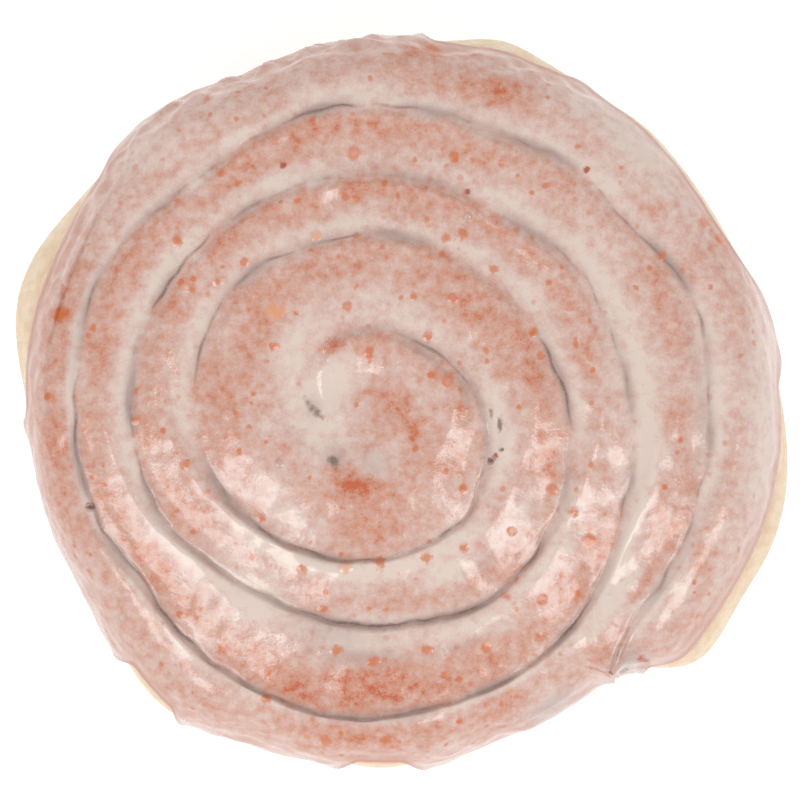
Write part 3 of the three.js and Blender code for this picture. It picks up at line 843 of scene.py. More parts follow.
@dataclass(frozen=True)
class GlazeFinish:
    """Milky sugar glaze over toasted crust: warm where the crust shows through, white where it pooled."""

    pool: Colour = srgb(231, 211, 199)
    milky: Colour = srgb(225, 195, 184)
    pink: Colour = srgb(218, 178, 164)
    toasted: Colour = srgb(210, 148, 124)
    deep: Colour = srgb(202, 104, 68)
    fleck: Colour = srgb(214, 118, 68)
    # Painted shade: the grey of the filling seen through the glaze, darkened to stand for shade beside the
    # grooves.
    filling_and_shade: Colour = srgb(172, 150, 143)
    # The dark seam of filling at each groove's foot, darkened further as painted shade in the crease; the
    # dark marks take it too.
    crack: Colour = srgb(122, 90, 80)
    # Painted shade: a darker colour down the lower side of the coat, for the side that gets less light.
    edge: Colour = srgb(208, 154, 134)
    roughness: float = 0.12
    refraction: float = 1.5
    blotch_size: float = 6.0
    mottle_size: float = 1.5
    grain_size: float = 0.32
    speck_spacing: float = 2.2
    colour_at: tuple[float, ...] = (0.0, 0.28, 0.5, 0.8, 1.0)

    def material(self) -> bpy.types.Material:
        """Make the glaze's material.

        Its colour goes by toasting. Specks, the filling's grey seen through the glaze with painted groove
        shade, the dark lines in the grooves with painted shade in the crease, dark marks, painted shade down
        the lower side and the spots go over that one after the other.
        """
        s = Shader("glaze")
        blotch, mottle = s.noise(self.blotch_size), s.noise(self.mottle_size, detail=3.0, roughness=0.6)
        grain = s.noise(self.grain_size, roughness=0.6)
        pool = s.attribute("pool")
        clear = s.rest(pool)
        toast = s.attribute("toast")
        toast = s.total((toast, 0.6), (blotch, 0.55), (mottle, 1.05), (grain, 0.5), (pool, -0.62))
        toast = s.math("ADD", toast, 0.5)
        colours = (self.pool, self.milky, self.pink, self.toasted, self.deep)
        colour = s.ramp(toast, tuple(zip(self.colour_at, colours)))
        colour = s.mix(s.times(self.specks(s, grain, toast), clear), colour, self.fleck)
        # The filling's grey seen through the glaze, with painted shade beside the grooves.
        colour = s.mix(s.total((s.attribute("filling_and_shade"), 0.8), (grain, 0.1)), colour, self.filling_and_shade)
        # The seam's dark line at each groove's foot: the filling's colour and painted shade in the crease.
        # The seams' darkness mask also strengthens the painted groove shade.
        dark_seams_and_shade = s.total((s.attribute("dark_seams_and_shade"), 1.0), (mottle, 0.9))
        line = s.total((s.attribute("groove_mm"), 1.0), (grain, 0.5), (mottle, 0.7))
        crack = s.times(s.fade(line, 0.0, 0.4), s.ease(dark_seams_and_shade, 0.15, 0.9, end=0.75))
        mark = s.total((s.attribute("mark"), 1.0), (grain, 0.5), (mottle, 0.5))
        colour = s.mix(s.math("MAXIMUM", crack, s.ease(mark, 0.25, 0.95, end=0.8)), colour, self.crack)
        # Painted shade down the lower side, fading out where the glaze pooled.
        rim = s.times(s.ease(s.attribute("edge_mm"), 3.0, 15.0, start=0.75, end=0.0), clear)
        colour = s.mix(rim, colour, self.edge)
        colour, dome = self.spots(s, colour, grain)
        rough = s.total((mottle, 0.1), (toast, 0.06))
        uneven = s.total((mottle, 0.08), (grain, 0.012))
        uneven = s.times(uneven, s.ease(pool, 0.0, 1.0, start=1.0, end=0.35))
        return s.surface(
            Base_Color=colour,
            Roughness=s.math("ADD", rough, self.roughness),
            Normal=s.bump(s.math("ADD", uneven, dome)),
            IOR=self.refraction,
        )

    def specks(self, s: Shader, grain: Socket, toast: Socket) -> Socket:
        """How strongly small ragged specks of crust show."""
        away, chance = s.cells(self.speck_spacing)
        ragged = s.noise(0.9, detail=1.0, shift=4.0)
        size = s.total((away, 1.0), (grain, 0.3), (ragged, 0.35), (chance, -0.18), (toast, -0.1))
        return s.times(s.fade(size, -0.08, 0.08), s.ease(chance, 0.3, 0.9, end=0.85))

    def spots(self, s: Shader, colour: Socket, grain: Socket) -> tuple[Socket, Socket]:
        """Lay the spots over a colour.

        Each is a round patch of its colour with a ragged edge, over a dome of height x (1 - reach squared).
        The reach is the way from its middle in radii.

        Returns:
            The colour with the spots, and the height of their domes.
        """
        way = s.attribute("spot_way", "Vector")
        look = s.node("ShaderNodeAttribute", attribute_name="spot_colour")
        height, hollow, ragged = s.split(s.attribute("spot_form", "Vector"))
        flat = s.node("ShaderNodeVectorMath", {0: way, 1: (1.0, 1.0, 0.0)}, operation="MULTIPLY")
        length = s.node("ShaderNodeVectorMath", {0: flat.outputs[0]}, operation="LENGTH")
        reach = s.math("MAXIMUM", length.outputs["Value"], s.times(s.split(way)[2], 0.6))
        wide = s.noise(1.1, shift=9.0)
        edge = s.math("ADD", reach, s.times(s.total((grain, 1.0), (wide, 1.6)), ragged))
        covered = s.times(s.fade(edge, 0.3, 1.15), look.outputs["Alpha"])
        middle = s.times(s.fade(edge, 0.25, 0.75), hollow)
        covered = s.times(covered, s.rest(s.times(middle, 0.7)))
        dome = s.times(s.math("MAXIMUM", s.rest(s.times(reach, reach)), 0.0), height)
        return s.mix(covered, colour, look.outputs["Color"]), dome


@dataclass(frozen=True)
class DoughFinish:
    """Baked dough: cream where it swelled past the glaze, golden at the crease and brown underneath."""

    cream: Colour = srgb(255, 236, 210)
    tan: Colour = srgb(246, 216, 182)
    golden: Colour = srgb(206, 150, 98)
    brown: Colour = srgb(158, 98, 58)
    roughness: float = 0.62

    def material(self) -> bpy.types.Material:
        """Make the dough's material, which goes by height."""
        s = Shader("dough")
        blotch, mottle, fine = s.noise(9.0), s.noise(2.0, detail=3.0), s.noise(0.5)
        level = s.math("ADD", s.height(), s.total((blotch, 5.0), (mottle, 1.5)))
        foot = s.fade(level, -0.5, 3.5)
        colour = s.mix(s.ease(mottle, -0.25, 0.3), self.cream, self.tan)
        colour = s.mix(s.ease(level, 11.0, 20.0, end=0.7), colour, self.golden)
        colour = s.mix(s.times(foot, 0.85), colour, self.golden)
        under = s.times(s.fade(s.height(), 0.2, 1.4), s.ease(blotch, -0.3, 0.25, start=0.25, end=0.9))
        colour = s.mix(under, colour, self.brown)
        return s.surface(
            Base_Color=colour,
            Roughness=self.roughness,
            Normal=s.bump(s.total((mottle, 0.25), (fine, 0.1))),
            Subsurface_Weight=0.1,
            Subsurface_Scale=2.0 * MM,
        )


@dataclass(frozen=True)
class FillingFinish:
    """Cinnamon and sugar, dark and grainy."""

    light: Colour = srgb(128, 72, 44)
    dark: Colour = srgb(62, 32, 22)
    roughness: float = 0.6

    def material(self) -> bpy.types.Material:
        """Make the filling's material."""
        s = Shader("filling")
        grain = s.noise(0.6, detail=3.0)
        colour = s.mix(s.ease(grain, -0.3, 0.3), self.dark, self.light)
        return s.surface(Base_Color=colour, Roughness=self.roughness, Normal=s.bump(s.times(grain, 0.4)))


# ---- Pieces of the roll --------------------


def around_edge(grid: StripGrid, numbers: Array, first_station: int) -> tuple[Array, Array, Array]:
    """The strip's open edge from the tail's inner corner across its end and back along its outer face.

    Returns:
        The station, the column and the place number of each place along the edge.
    """
    across = np.arange(grid.columns + 1)
    back = np.arange(grid.last - 1, first_station - 1, -1)
    stations = np.concatenate([np.full(len(across), grid.last), back])
    columns = np.concatenate([across, np.full(len(back), grid.columns)])
    return stations, columns, numbers[stations, columns]


def across_tail(grid: StripGrid, places: Array, stations: Array, columns: Array, corner: int) -> None:
    """Lay each row's places at the tail's end straight across, from a corner to the outer one."""
    ends = np.flatnonzero(stations == grid.last)
    share = (columns[ends] / grid.columns)[None, :, None]
    places[:, ends] = lerp(places[:, [corner]], places[:, ends[-1:]], share)


@dataclass
class GlazeCoat:
    """The glaze: one skin over the whole top, sunk into the grooves, that runs down the open side."""

    form: RollForm
    finish: GlazeFinish
    patches: dict[str, tuple[Patch, ...]]
    spots: tuple[Spot, ...]
    per_turn: int = 525
    columns: int = 22
    rows: int = 26
    inner_every: int = 7
    inner_columns: int = 10
    inner_rows: int = 8
    clear: float = 0.15
    edge_thickness: float = 0.12
    columns_drawn_in: float = 0.055
    crease: float = 0.16
    crease_spread: float = 0.3
    creased: tuple[float, float] = (0.5, 0.4)
    calm_by_groove: float = 2.5
    calm_by_edge: float = 0.6
    edge_round: float = 0.1
    bead: float = 0.25
    bead_at: float = 0.9
    bead_spread: float = 0.07
    closing: float = 1.25
    closing_spread: float = 2.5
    closing_at_tail: float = -0.3
    closing_rows: float = 0.2
    lean_from: float = 0.5
    run_down: float = 17.0
    strip_pool: tuple[float, float, float] = (0.65, 0.18, 0.18)
    strip_toast: tuple[float, float, float] = (0.2, 0.74, 0.2)
    # How the filling's grey and the painted groove shade lie beside the grooves, and how dark the seams are.
    filling_shade_outside: float = 0.9
    filling_shade_inside: float = 0.6
    filling_shade_mean: float = 0.5
    filling_shade_of_dark_seams: float = 0.45
    dark_seams_and_shade_mean: float = 0.3
    ripples: tuple[Ripple, ...] = (Ripple(12.0, 0.45, 3), Ripple(5.5, 0.26, 4), Ripple(2.6, 0.1, 5))
    wear: Ripple = Ripple(6.0, 1.0, 8)
    stray: Ripple = Ripple(4.0, 0.5, 9)
    stray_reach: float = 0.7
    drift: Ripple = Ripple(15.0, 1.0, 33)
    # Slow changes in the painted groove shade and in how dark the seams are.
    filling_shade_drift: Ripple = Ripple(9.0, 1.2, 35)
    dark_seams_and_shade_drift: Ripple = Ripple(5.0, 0.6, 31)
    crags: Ripple = Ripple(3.4, 1.3, 12)
    crag_rows: tuple[float, float] = (0.45, 0.25)
    crag_bearing: float = 245.0
    crag_spread: float = 42.0
    crags_elsewhere: float = 0.25

    def grid(self, coarser: int, columns: int, rows: int) -> StripGrid:
        """A strip grid whose columns run from groove to groove, closer together beside them."""
        even = np.linspace(0.0, 1.0, columns + 1)
        across = even - self.columns_drawn_in * np.sin(2.0 * np.pi * even)
        return StripGrid(self.form.winding, self.per_turn // coarser, across, rows)

    def groove_distances(self, angle: Array, radius: Array) -> tuple[Array, Array]:
        """Distances to the strip's inner and outer groove, made larger where a groove fades out."""
        w, next_turn = self.form.winding, angle + TURN
        inner = radius - w.face_radius(angle) + FAR * (1.0 - w.groove_share(angle))
        outer = w.face_radius(next_turn) - radius + FAR * (1.0 - w.groove_share(next_turn))
        return inner, outer

    def top(self, grid: StripGrid, lift: float, outside: bool) -> tuple[Array, Array, Array]:
        """Places of the coat over the strip, and their distances to its two grooves.

        The coat stands over the dough by the lift and the relief, and it levels the grooves but for a
        narrow crease. By the open side it moves out as well as up.
        """
        form, w = self.form, self.form.winding
        angle, share = grid.angles, grid.across[None, :]
        open_share = w.open_share(angle)
        inner, outer = form.strip_radii(angle)
        edge = form.outer_edge(angle, form.top_ends, outer) + (1.0 - open_share) * w.half_gap(angle + TURN)
        radius = lerp(inner - w.half_gap(angle), edge, share)
        z = form.uncut_height(angle, radius) - form.groove_falls(angle, radius, glazed=outside)
        thickness = np.full(radius.shape, lift)
        to_inner, to_outer = self.groove_distances(angle, radius)
        if outside:
            groove = np.minimum(to_inner, to_outer)
            places = form.place(angle, radius, z)
            mean, leaning = self.creased
            creased = np.clip(mean + leaning * form.lean(angle) + relief(places, self.wear), 0.0, 1.0)
            rippled = smoothstep(groove, 0.0, self.calm_by_groove)
            thickness += relief(places, *self.ripples) * rippled
            thickness -= self.crease * creased * bell(groove, self.crease_spread)
            stray = relief(places, self.stray) * bell(groove, self.stray_reach)
            radius = radius + stray * w.groove_share(angle)
        lean = np.radians((90.0 - form.top_ends) * open_share * smoothstep(share, self.lean_from, 1.0))
        places = form.place(angle, radius + thickness * np.sin(lean), z + thickness * np.cos(lean))
        return places, to_inner, to_outer

    def side(self, grid: StripGrid, lift: float, outside: bool, stations: Array, columns: Array) -> Array:
        """Places of the coat down the open side and the tail's end, row by row below the top's edge.

        Each row's slope angle steps from the top's edge to where the glaze stops. Across the tail's end the
        places go straight from its inner to its outer corner.
        """
        form, w = self.form, self.form.winding
        rows = np.arange(1, grid.rows + 1)[:, None] / grid.rows
        angle = np.broadcast_to(grid.angle(stations), (grid.rows, len(stations)))
        slope = lerp(form.top_ends, form.glaze_edge(angle), rows)
        outer = form.strip_radii(angle)[1]
        profile, z = form.side_profile(angle, slope, outer)
        radius, slope = lerp(outer, profile, w.open_share(angle)), np.radians(slope)
        thickness = np.full(radius.shape, lift)
        if outside:
            places = form.place(angle, radius, z)
            thickness += relief(places, *self.ripples) * (1.0 - self.calm_by_edge * rows)
            craggy = bell(turn_between(self.crag_bearing, angle), self.crag_spread)
            crag_row, crag_rows = self.crag_rows
            craggy = lerp(self.crags_elsewhere, 1.0, craggy) * bell(rows - crag_row, crag_rows)
            thickness += relief(places, self.crags) * craggy
            thickness += self.bead * bell(rows - self.bead_at, self.bead_spread)
            closing = bell(angle - w.tail_angle + TURN, self.closing_spread)
            closing += self.closing_at_tail * bell(angle - w.tail_angle, self.closing_spread)
            thickness += self.closing * closing * smoothstep(rows, 0.0, self.closing_rows)
            ending = np.clip((rows - 1.0 + self.edge_round) / self.edge_round, 0.0, 1.0)
            thin = self.clear + self.edge_thickness
            thickness = lerp(thin, thickness, np.sqrt(1.0 - ending**2))
        places = form.place(angle, radius + thickness * np.cos(slope), z + thickness * np.sin(slope))
        across_tail(grid, places, stations, columns, corner=-1)
        return places

    def layer(self, grid: StripGrid, lift: float, outside: bool) -> dict[str, Array]:
        """One face of the coat.

        Returns:
            Its places and triangles, the place numbers of its edge with how far along it each is, and by
            place the distances to the grooves, the share across the strip, the wind angle and how far down
            the side it is.
        """
        top, to_inner, to_outer = self.top(grid, lift, outside)
        numbers = grid.numbers(joined_to=grid.last)
        stations, columns, loop = around_edge(grid, numbers, grid.last - grid.per_turn)
        side = self.side(grid, lift, outside, stations, columns)
        wall = wall_rows(loop, grid.rows, numbers.size)
        faces = np.concatenate([grid_faces(numbers), ring_faces(wall)])
        points = np.concatenate([top.reshape(-1, 3), side[:, :-1].reshape(-1, 3)])
        rows = np.repeat(np.arange(1, grid.rows + 1), wall.shape[1]) / grid.rows
        shares = np.broadcast_to(grid.across[None, :], numbers.shape).ravel()
        winds = np.broadcast_to(grid.angles, numbers.shape).ravel()
        away = np.full(rows.size, FAR)
        turns_back = (grid.last - stations) / grid.per_turn
        along = np.where(stations == grid.last, columns / grid.columns, 1.0 + turns_back)
        return {
            "points": points,
            "faces": faces,
            "edge": np.append(wall[-1], wall[-1, 0]),
            "along": along,
            "to_inner": np.concatenate([to_inner.ravel(), away]),
            "to_outer": np.concatenate([to_outer.ravel(), away]),
            "share": np.concatenate([shares, np.ones(rows.size)]),
            "wind": np.concatenate([winds, np.tile(grid.angle(stations[:-1]), grid.rows)]),
            "down": np.concatenate([np.zeros(numbers.size), rows]),
        }

    def build(self) -> bpy.types.Object:
        """Make the coat: a fine outer face, a coarse one just over the dough, and the rim between."""
        fine = self.layer(self.grid(1, self.columns, self.rows), self.form.coat, outside=True)
        coarse_grid = self.grid(self.inner_every, self.inner_columns, self.inner_rows)
        coarse = self.layer(coarse_grid, self.clear, outside=False)
        first = len(fine["points"])
        rim = zip_loops(fine["edge"], fine["along"], coarse["edge"] + first, coarse["along"])
        points = np.concatenate([fine["points"], coarse["points"]])
        faces = np.concatenate([fine["faces"], rim, coarse["faces"][:, ::-1] + first])
        values = self.values(points, fine, coarse)
        return make_piece("glaze_coat", points, faces, self.finish.material(), values)

    def values(self, points: Array, fine: dict[str, Array], coarse: dict[str, Array]) -> dict[str, Array]:
        """What the material reads from the mesh: toasting, pooling, grooves, how dark the seams are, the
        filling's grey with painted groove shade, the edge and the spots.

        Along the whole strip the glaze pooled just outside each groove, and the crust is most toasted where
        the strip rounds over towards the next groove. The patches come on top of that.
        """
        keys = ("to_inner", "to_outer", "down", "share", "wind")
        both = {key: np.concatenate([fine[key], coarse[key]]) for key in keys}
        laid = {name: patched(rows, self.form, points) for name, rows in self.patches.items()}
        w = self.form.winding
        wound = w.groove_share(both["wind"])
        drift = relief(points, self.drift)
        strength, at, spread = self.strip_pool
        pooled = strength * wound * bell(both["share"] - at, spread) * (1.0 + drift)
        inside = wound * (1.0 - w.open_share(both["wind"]))
        strength, at, spread = self.strip_toast
        toasted = strength * inside * bell(both["share"] - at, spread) * (1.0 - drift)
        # Painted shade beside both grooves, over the filling's grey seen through the glaze; stronger where
        # seams are dark.
        near = bell(both["to_inner"], self.filling_shade_outside) + bell(both["to_outer"], self.filling_shade_inside)
        filling_shaded = self.filling_shade_mean + relief(points, self.filling_shade_drift) + self.filling_shade_of_dark_seams * laid["dark_seams_and_shade"]
        # How dark the seams are, which sets both the dark seam line and the painted shade in the grooves.
        dark_seams_and_shade = self.dark_seams_and_shade_mean + relief(points, self.dark_seams_and_shade_drift) + laid["dark_seams_and_shade"]
        return {
            **spot_values(self.spots, self.form, points),
            "groove_mm": np.minimum(both["to_inner"], both["to_outer"]),
            # How far the glaze runs above its lower end, which places the painted side shade.
            "edge_mm": (1.0 - both["down"]) * self.run_down,
            "toast": np.maximum(toasted, laid["toast"]),
            "pool": np.maximum(pooled, laid["pool"]),
            "filling_and_shade": np.maximum(np.clip(near * filling_shaded, 0.0, 1.0), laid["filling_and_shade"]),
            "dark_seams_and_shade": np.clip(dark_seams_and_shade, 0.0, 1.0),
            "mark": laid["mark"],
        }


@dataclass
class DoughRoll:
    """The dough: one wound strip with gaps between its turns, a rounded side and a flat foot."""

    form: RollForm
    finish: DoughFinish
    per_turn: int = 255
    columns: int = 12
    rows: int = 14
    ripples: tuple[Ripple, ...] = (Ripple(14.0, 0.35, 11), Ripple(5.0, 0.16, 12), Ripple(1.8, 0.05, 13))
    clear_of_glaze: float = 0.05
    lumps_start: float = 8.0

    def rows_down(self, grid: StripGrid, stations: Array, columns: Array, top: Array, base: Array) -> Array:
        """Places down the strip's faces, between the top sheet and the base sheet.

        In a gap a face is straight. On the open side it follows the side's profile, in even steps of its
        slope angle, with lumps that fade out towards the glaze.
        """
        form, w = self.form, self.form.winding
        share = np.arange(1, grid.rows)[:, None] / grid.rows
        straight = lerp(top[None, :, :], base[None, :, :], share[..., None])
        angle = np.broadcast_to(grid.angle(stations), (grid.rows - 1, len(stations)))
        slope = np.broadcast_to(lerp(form.top_ends, form.base_angle, share), angle.shape)
        outer = form.strip_radii(angle)[1]
        radius, z = form.side_profile(angle, slope, outer)
        lumps = relief(form.place(angle, radius, z), *self.ripples)
        in_glaze = smoothstep(z, form.waist - self.lumps_start, form.waist)
        radius = radius + (lumps * (1.0 - in_glaze) - self.clear_of_glaze) * np.sin(np.pi * share)
        profile = form.place(angle, radius, z)
        outside = (columns == grid.columns) * w.open_share(grid.angle(stations))
        places = lerp(straight, profile, outside[None, :, None])
        across_tail(grid, places, stations, columns, corner=np.argmax(stations == grid.last))
        return places

    def sheets(self, grid: StripGrid) -> tuple[Array, Array]:
        """Places of the top sheet and of the base sheet, by station and column."""
        form, w = self.form, self.form.winding
        angle, share = grid.angles, grid.across[None, :]
        inner, outer = form.strip_radii(angle)
        radius = lerp(inner, form.outer_edge(angle, form.top_ends, outer), share)
        top = form.place(angle, radius, form.top_height(angle, radius))
        radius = lerp(inner, form.outer_edge(angle, form.base_angle, outer), share)
        base_edge = form.side_profile(angle, np.full_like(angle, form.base_angle), outer)[1]
        foot = form.foot_share
        outer_lift = lerp(form.foot_lift, base_edge, w.open_share(angle))
        lift = form.foot_lift * w.groove_share(angle) * (1.0 - smoothstep(share, 0.0, foot))
        lift += outer_lift * smoothstep(share, 1.0 - foot, 1.0)
        return top, form.place(angle, radius, lift)

    def build(self) -> bpy.types.Object:
        """Make the dough: its top and base sheets, and the wall round the gap and the open side."""
        w = self.form.winding
        grid = StripGrid(w, self.per_turn, np.linspace(0.0, 1.0, self.columns + 1), self.rows)
        top, base = self.sheets(grid)
        gap_start = 2 * grid.per_turn
        numbers = grid.numbers(joined_to=gap_start)
        plan = grid_faces(numbers)
        stations, columns, _ = around_edge(grid, numbers, grid.per_turn)
        inner_face = np.arange(gap_start, grid.last)
        stations = np.concatenate([inner_face, stations])
        columns = np.concatenate([np.zeros_like(inner_face), columns])
        loop = numbers[stations, columns]
        rows = self.rows_down(grid, stations, columns, top[stations, columns], base[stations, columns])
        wall = wall_rows(loop, grid.rows - 1, 2 * numbers.size)
        wall = np.vstack([wall, loop[None, :-1] + numbers.size])
        faces = np.concatenate([plan, plan[:, ::-1] + numbers.size, ring_faces(wall)])
        points = np.concatenate([top.reshape(-1, 3), base.reshape(-1, 3), rows[:, :-1].reshape(-1, 3)])
        return make_piece("dough_roll", points, faces, self.finish.material())


@dataclass
class CinnamonFilling:
    """The filling: a thin grainy wall of cinnamon between the turns, which shows at the tail."""

    form: RollForm
    finish: FillingFinish
    per_turn: int = 255
    rows: int = 7
    starts: float = 128.0
    thickness: float = 0.65
    below_shoulder: float = 0.3
    foot: float = 1.0
    grain: Ripple = Ripple(1.1, 0.16, 21)
    grain_apart: float = 2.0

    def build(self) -> bpy.types.Object:
        """Make the wall: a ring of places round its section at each angle, and a cap on each end."""
        form, w = self.form, self.form.winding
        count = round((w.tail_angle - self.starts) / TURN * self.per_turn)
        angle = np.linspace(self.starts, w.tail_angle, count + 1)[:, None]
        middle = w.face_radius(angle)
        within = form.top_height(angle - TURN, middle - w.half_gap(angle))
        outside = form.top_height(angle, middle + w.half_gap(angle))
        upper = np.minimum(within, outside) - self.below_shoulder
        half = self.rows + 1
        down = np.linspace(0.0, 1.0, half)
        side = np.repeat([1.0, -1.0], half)[None, :]
        level = np.concatenate([down, down[::-1]])[None, :]
        z = lerp(upper, self.foot, level)
        grain = relief(form.place(angle, middle + self.grain_apart * side, z), self.grain)
        radius = middle + side * (0.5 * self.thickness + grain * (level > 0.0) * (level < 1.0))
        points = form.place(angle, radius, z)
        numbers = np.arange(z.size).reshape(z.shape)
        cap = np.stack([numbers[:, :half], numbers[:, : half - 1 : -1]], axis=1)
        faces = np.concatenate([ring_faces(numbers), grid_faces(cap[0])[:, ::-1], grid_faces(cap[-1])])
        return make_piece("filling_wall", points.reshape(-1, 3), faces, self.finish.material())


# ---- Studio --------------------


@dataclass(frozen=True)
class Softbox:
    """A square light aimed at the roll, by its bearing, elevation and distance in metres."""

    name: str
    azimuth: float
    elevation: float = 57.0
    distance: float = 0.7
    size: float = 0.24
    watts: float = 0.95

    def build(self, aim: Vector) -> None:
        """Put the light into the scene, turned to the aim."""
        data = bpy.data.lights.new(self.name, "AREA")
        data.size, data.energy = self.size, self.watts
        lamp = into_scene(self.name, data)
        a, e = np.radians(self.azimuth), np.radians(self.elevation)
        away = Vector((np.cos(a) * np.cos(e), np.sin(a) * np.cos(e), np.sin(e)))
        lamp.location = aim + away * self.distance
        lamp.rotation_euler = away.to_track_quat("Z", "Y").to_euler()


@dataclass
class Studio:
    """A plain white floor, soft light from the front corners and a long lens straight above."""

    centre: tuple[float, float] = (-0.244, 0.150)
    frame_width: float = 120.0
    frame_height: float = 14.0
    distance: float = 2.4
    sensor: float = 36.0
    world: float = 0.64
    floor_size: float = 6.0
    floor_glow: float = 0.8
    floor_grey: Colour = srgb(170, 170, 170)
    floor_white: Colour = srgb(250, 250, 250)
    boxes: tuple[Softbox, ...] = (Softbox("left_box", 222.0), Softbox("right_box", -38.0))

    def floor(self) -> None:
        """A large white sheet at the roll's foot, bright by itself so that it stays white."""
        half = self.floor_size / 2.0 / MM
        corners = np.array([(-half, -half, 0.0), (half, -half, 0.0), (half, half, 0.0), (-half, half, 0.0)])
        material = Shader("floor").surface(
            Base_Color=self.floor_grey,
            Roughness=0.9,
            Specular_IOR_Level=0.0,
            Emission_Color=self.floor_white,
            Emission_Strength=self.floor_glow,
        )
        sheet = make_piece("floor", corners, np.array([(0, 1, 2), (0, 2, 3)]), material)

    def camera(self) -> None:
        """The camera straight above, its lens set so that the picture spans the frame's width."""
        data = bpy.data.cameras.new("camera")
        data.sensor_width = self.sensor
        data.lens = self.sensor * self.distance / (self.frame_width * MM)
        data.clip_start, data.clip_end = 0.01, 20.0
        camera = into_scene("camera", data)
        x, y = self.centre
        camera.location = (x * MM, y * MM, self.frame_height * MM + self.distance)
        bpy.context.scene.camera = camera

    def build(self) -> None:
        """Set up the floor, the light all round, the softboxes and the camera."""
        self.floor()
        scene = bpy.context.scene
        scene.world = bpy.data.worlds.new("studio")
        scene.world.use_nodes = True
        background = scene.world.node_tree.nodes["Background"]
        background.inputs["Color"].default_value = srgb(255, 255, 255)
        background.inputs["Strength"].default_value = self.world
        scene.view_settings.view_transform = "Standard"
        for box in self.boxes:
            box.build(Vector((0.0, 0.0, self.frame_height * MM)))
        self.camera()


# ---- The whole --------------------


def offset_in_frame() -> tuple[float, float]:
    """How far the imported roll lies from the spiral's own plan, from the middle of the filling's box."""
    winding = Winding()
    filling = CinnamonFilling(RollForm(), FillingFinish())
    step = 8.0
    angle = np.arange(filling.starts, winding.tail_angle + step / 2.0, step)
    reach = winding.face_radius(angle) + 0.5 * filling.thickness * np.array([[-1.0], [1.0]])
    own = RollForm(winding).place(angle, reach, 0.0 * reach).reshape(-1, 3)
    low, high = (np.array(corner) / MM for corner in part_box("cinnamon_filling"))
    shift = (low + high) / 2.0 - (own.min(0) + own.max(0)) / 2.0
    return float(shift[0]), float(shift[1])


# Where the grooves stray from the spiral's smooth path: wind angle, how far out, and over what angle.
WANDERS = tuple(
    Wander(at, out, spread)
    for at, out, spread in (
        (410.0, 0.8, 9.0), (575.0, 0.6, 14.0), (611.0, -0.8, 12.0), (700.0, -0.7, 10.0), (800.0, -0.7, 10.0),
        (875.0, 0.8, 9.0), (1019.0, -0.6, 8.0), (1044.0, 1.0, 9.0), (1105.0, -0.8, 12.0),
        (1180.0, 1.1, 14.0), (1225.0, -1.7, 12.0), (1285.0, 1.2, 12.0), (1312.0, -0.8, 10.0),
        (1341.0, 0.8, 11.0), (1374.0, -0.8, 8.0), (1401.0, -0.9, 7.0), (1421.0, 1.3, 10.0),
        (1460.0, -1.0, 14.0), (1500.0, 0.7, 12.0), (1520.0, 0.8, 6.0), (1563.0, 0.8, 5.0),
        (1690.0, -0.8, 7.0), (1728.0, 0.6, 5.0), (1745.0, -0.6, 5.0),
    )
)


def patches(*rows: tuple[float, float, float, float, float]) -> tuple[Patch, ...]:
    """Patches from rows of x, y, half size along the strip, half size across it, and strength."""
    return tuple(Patch(*row) for row in rows)


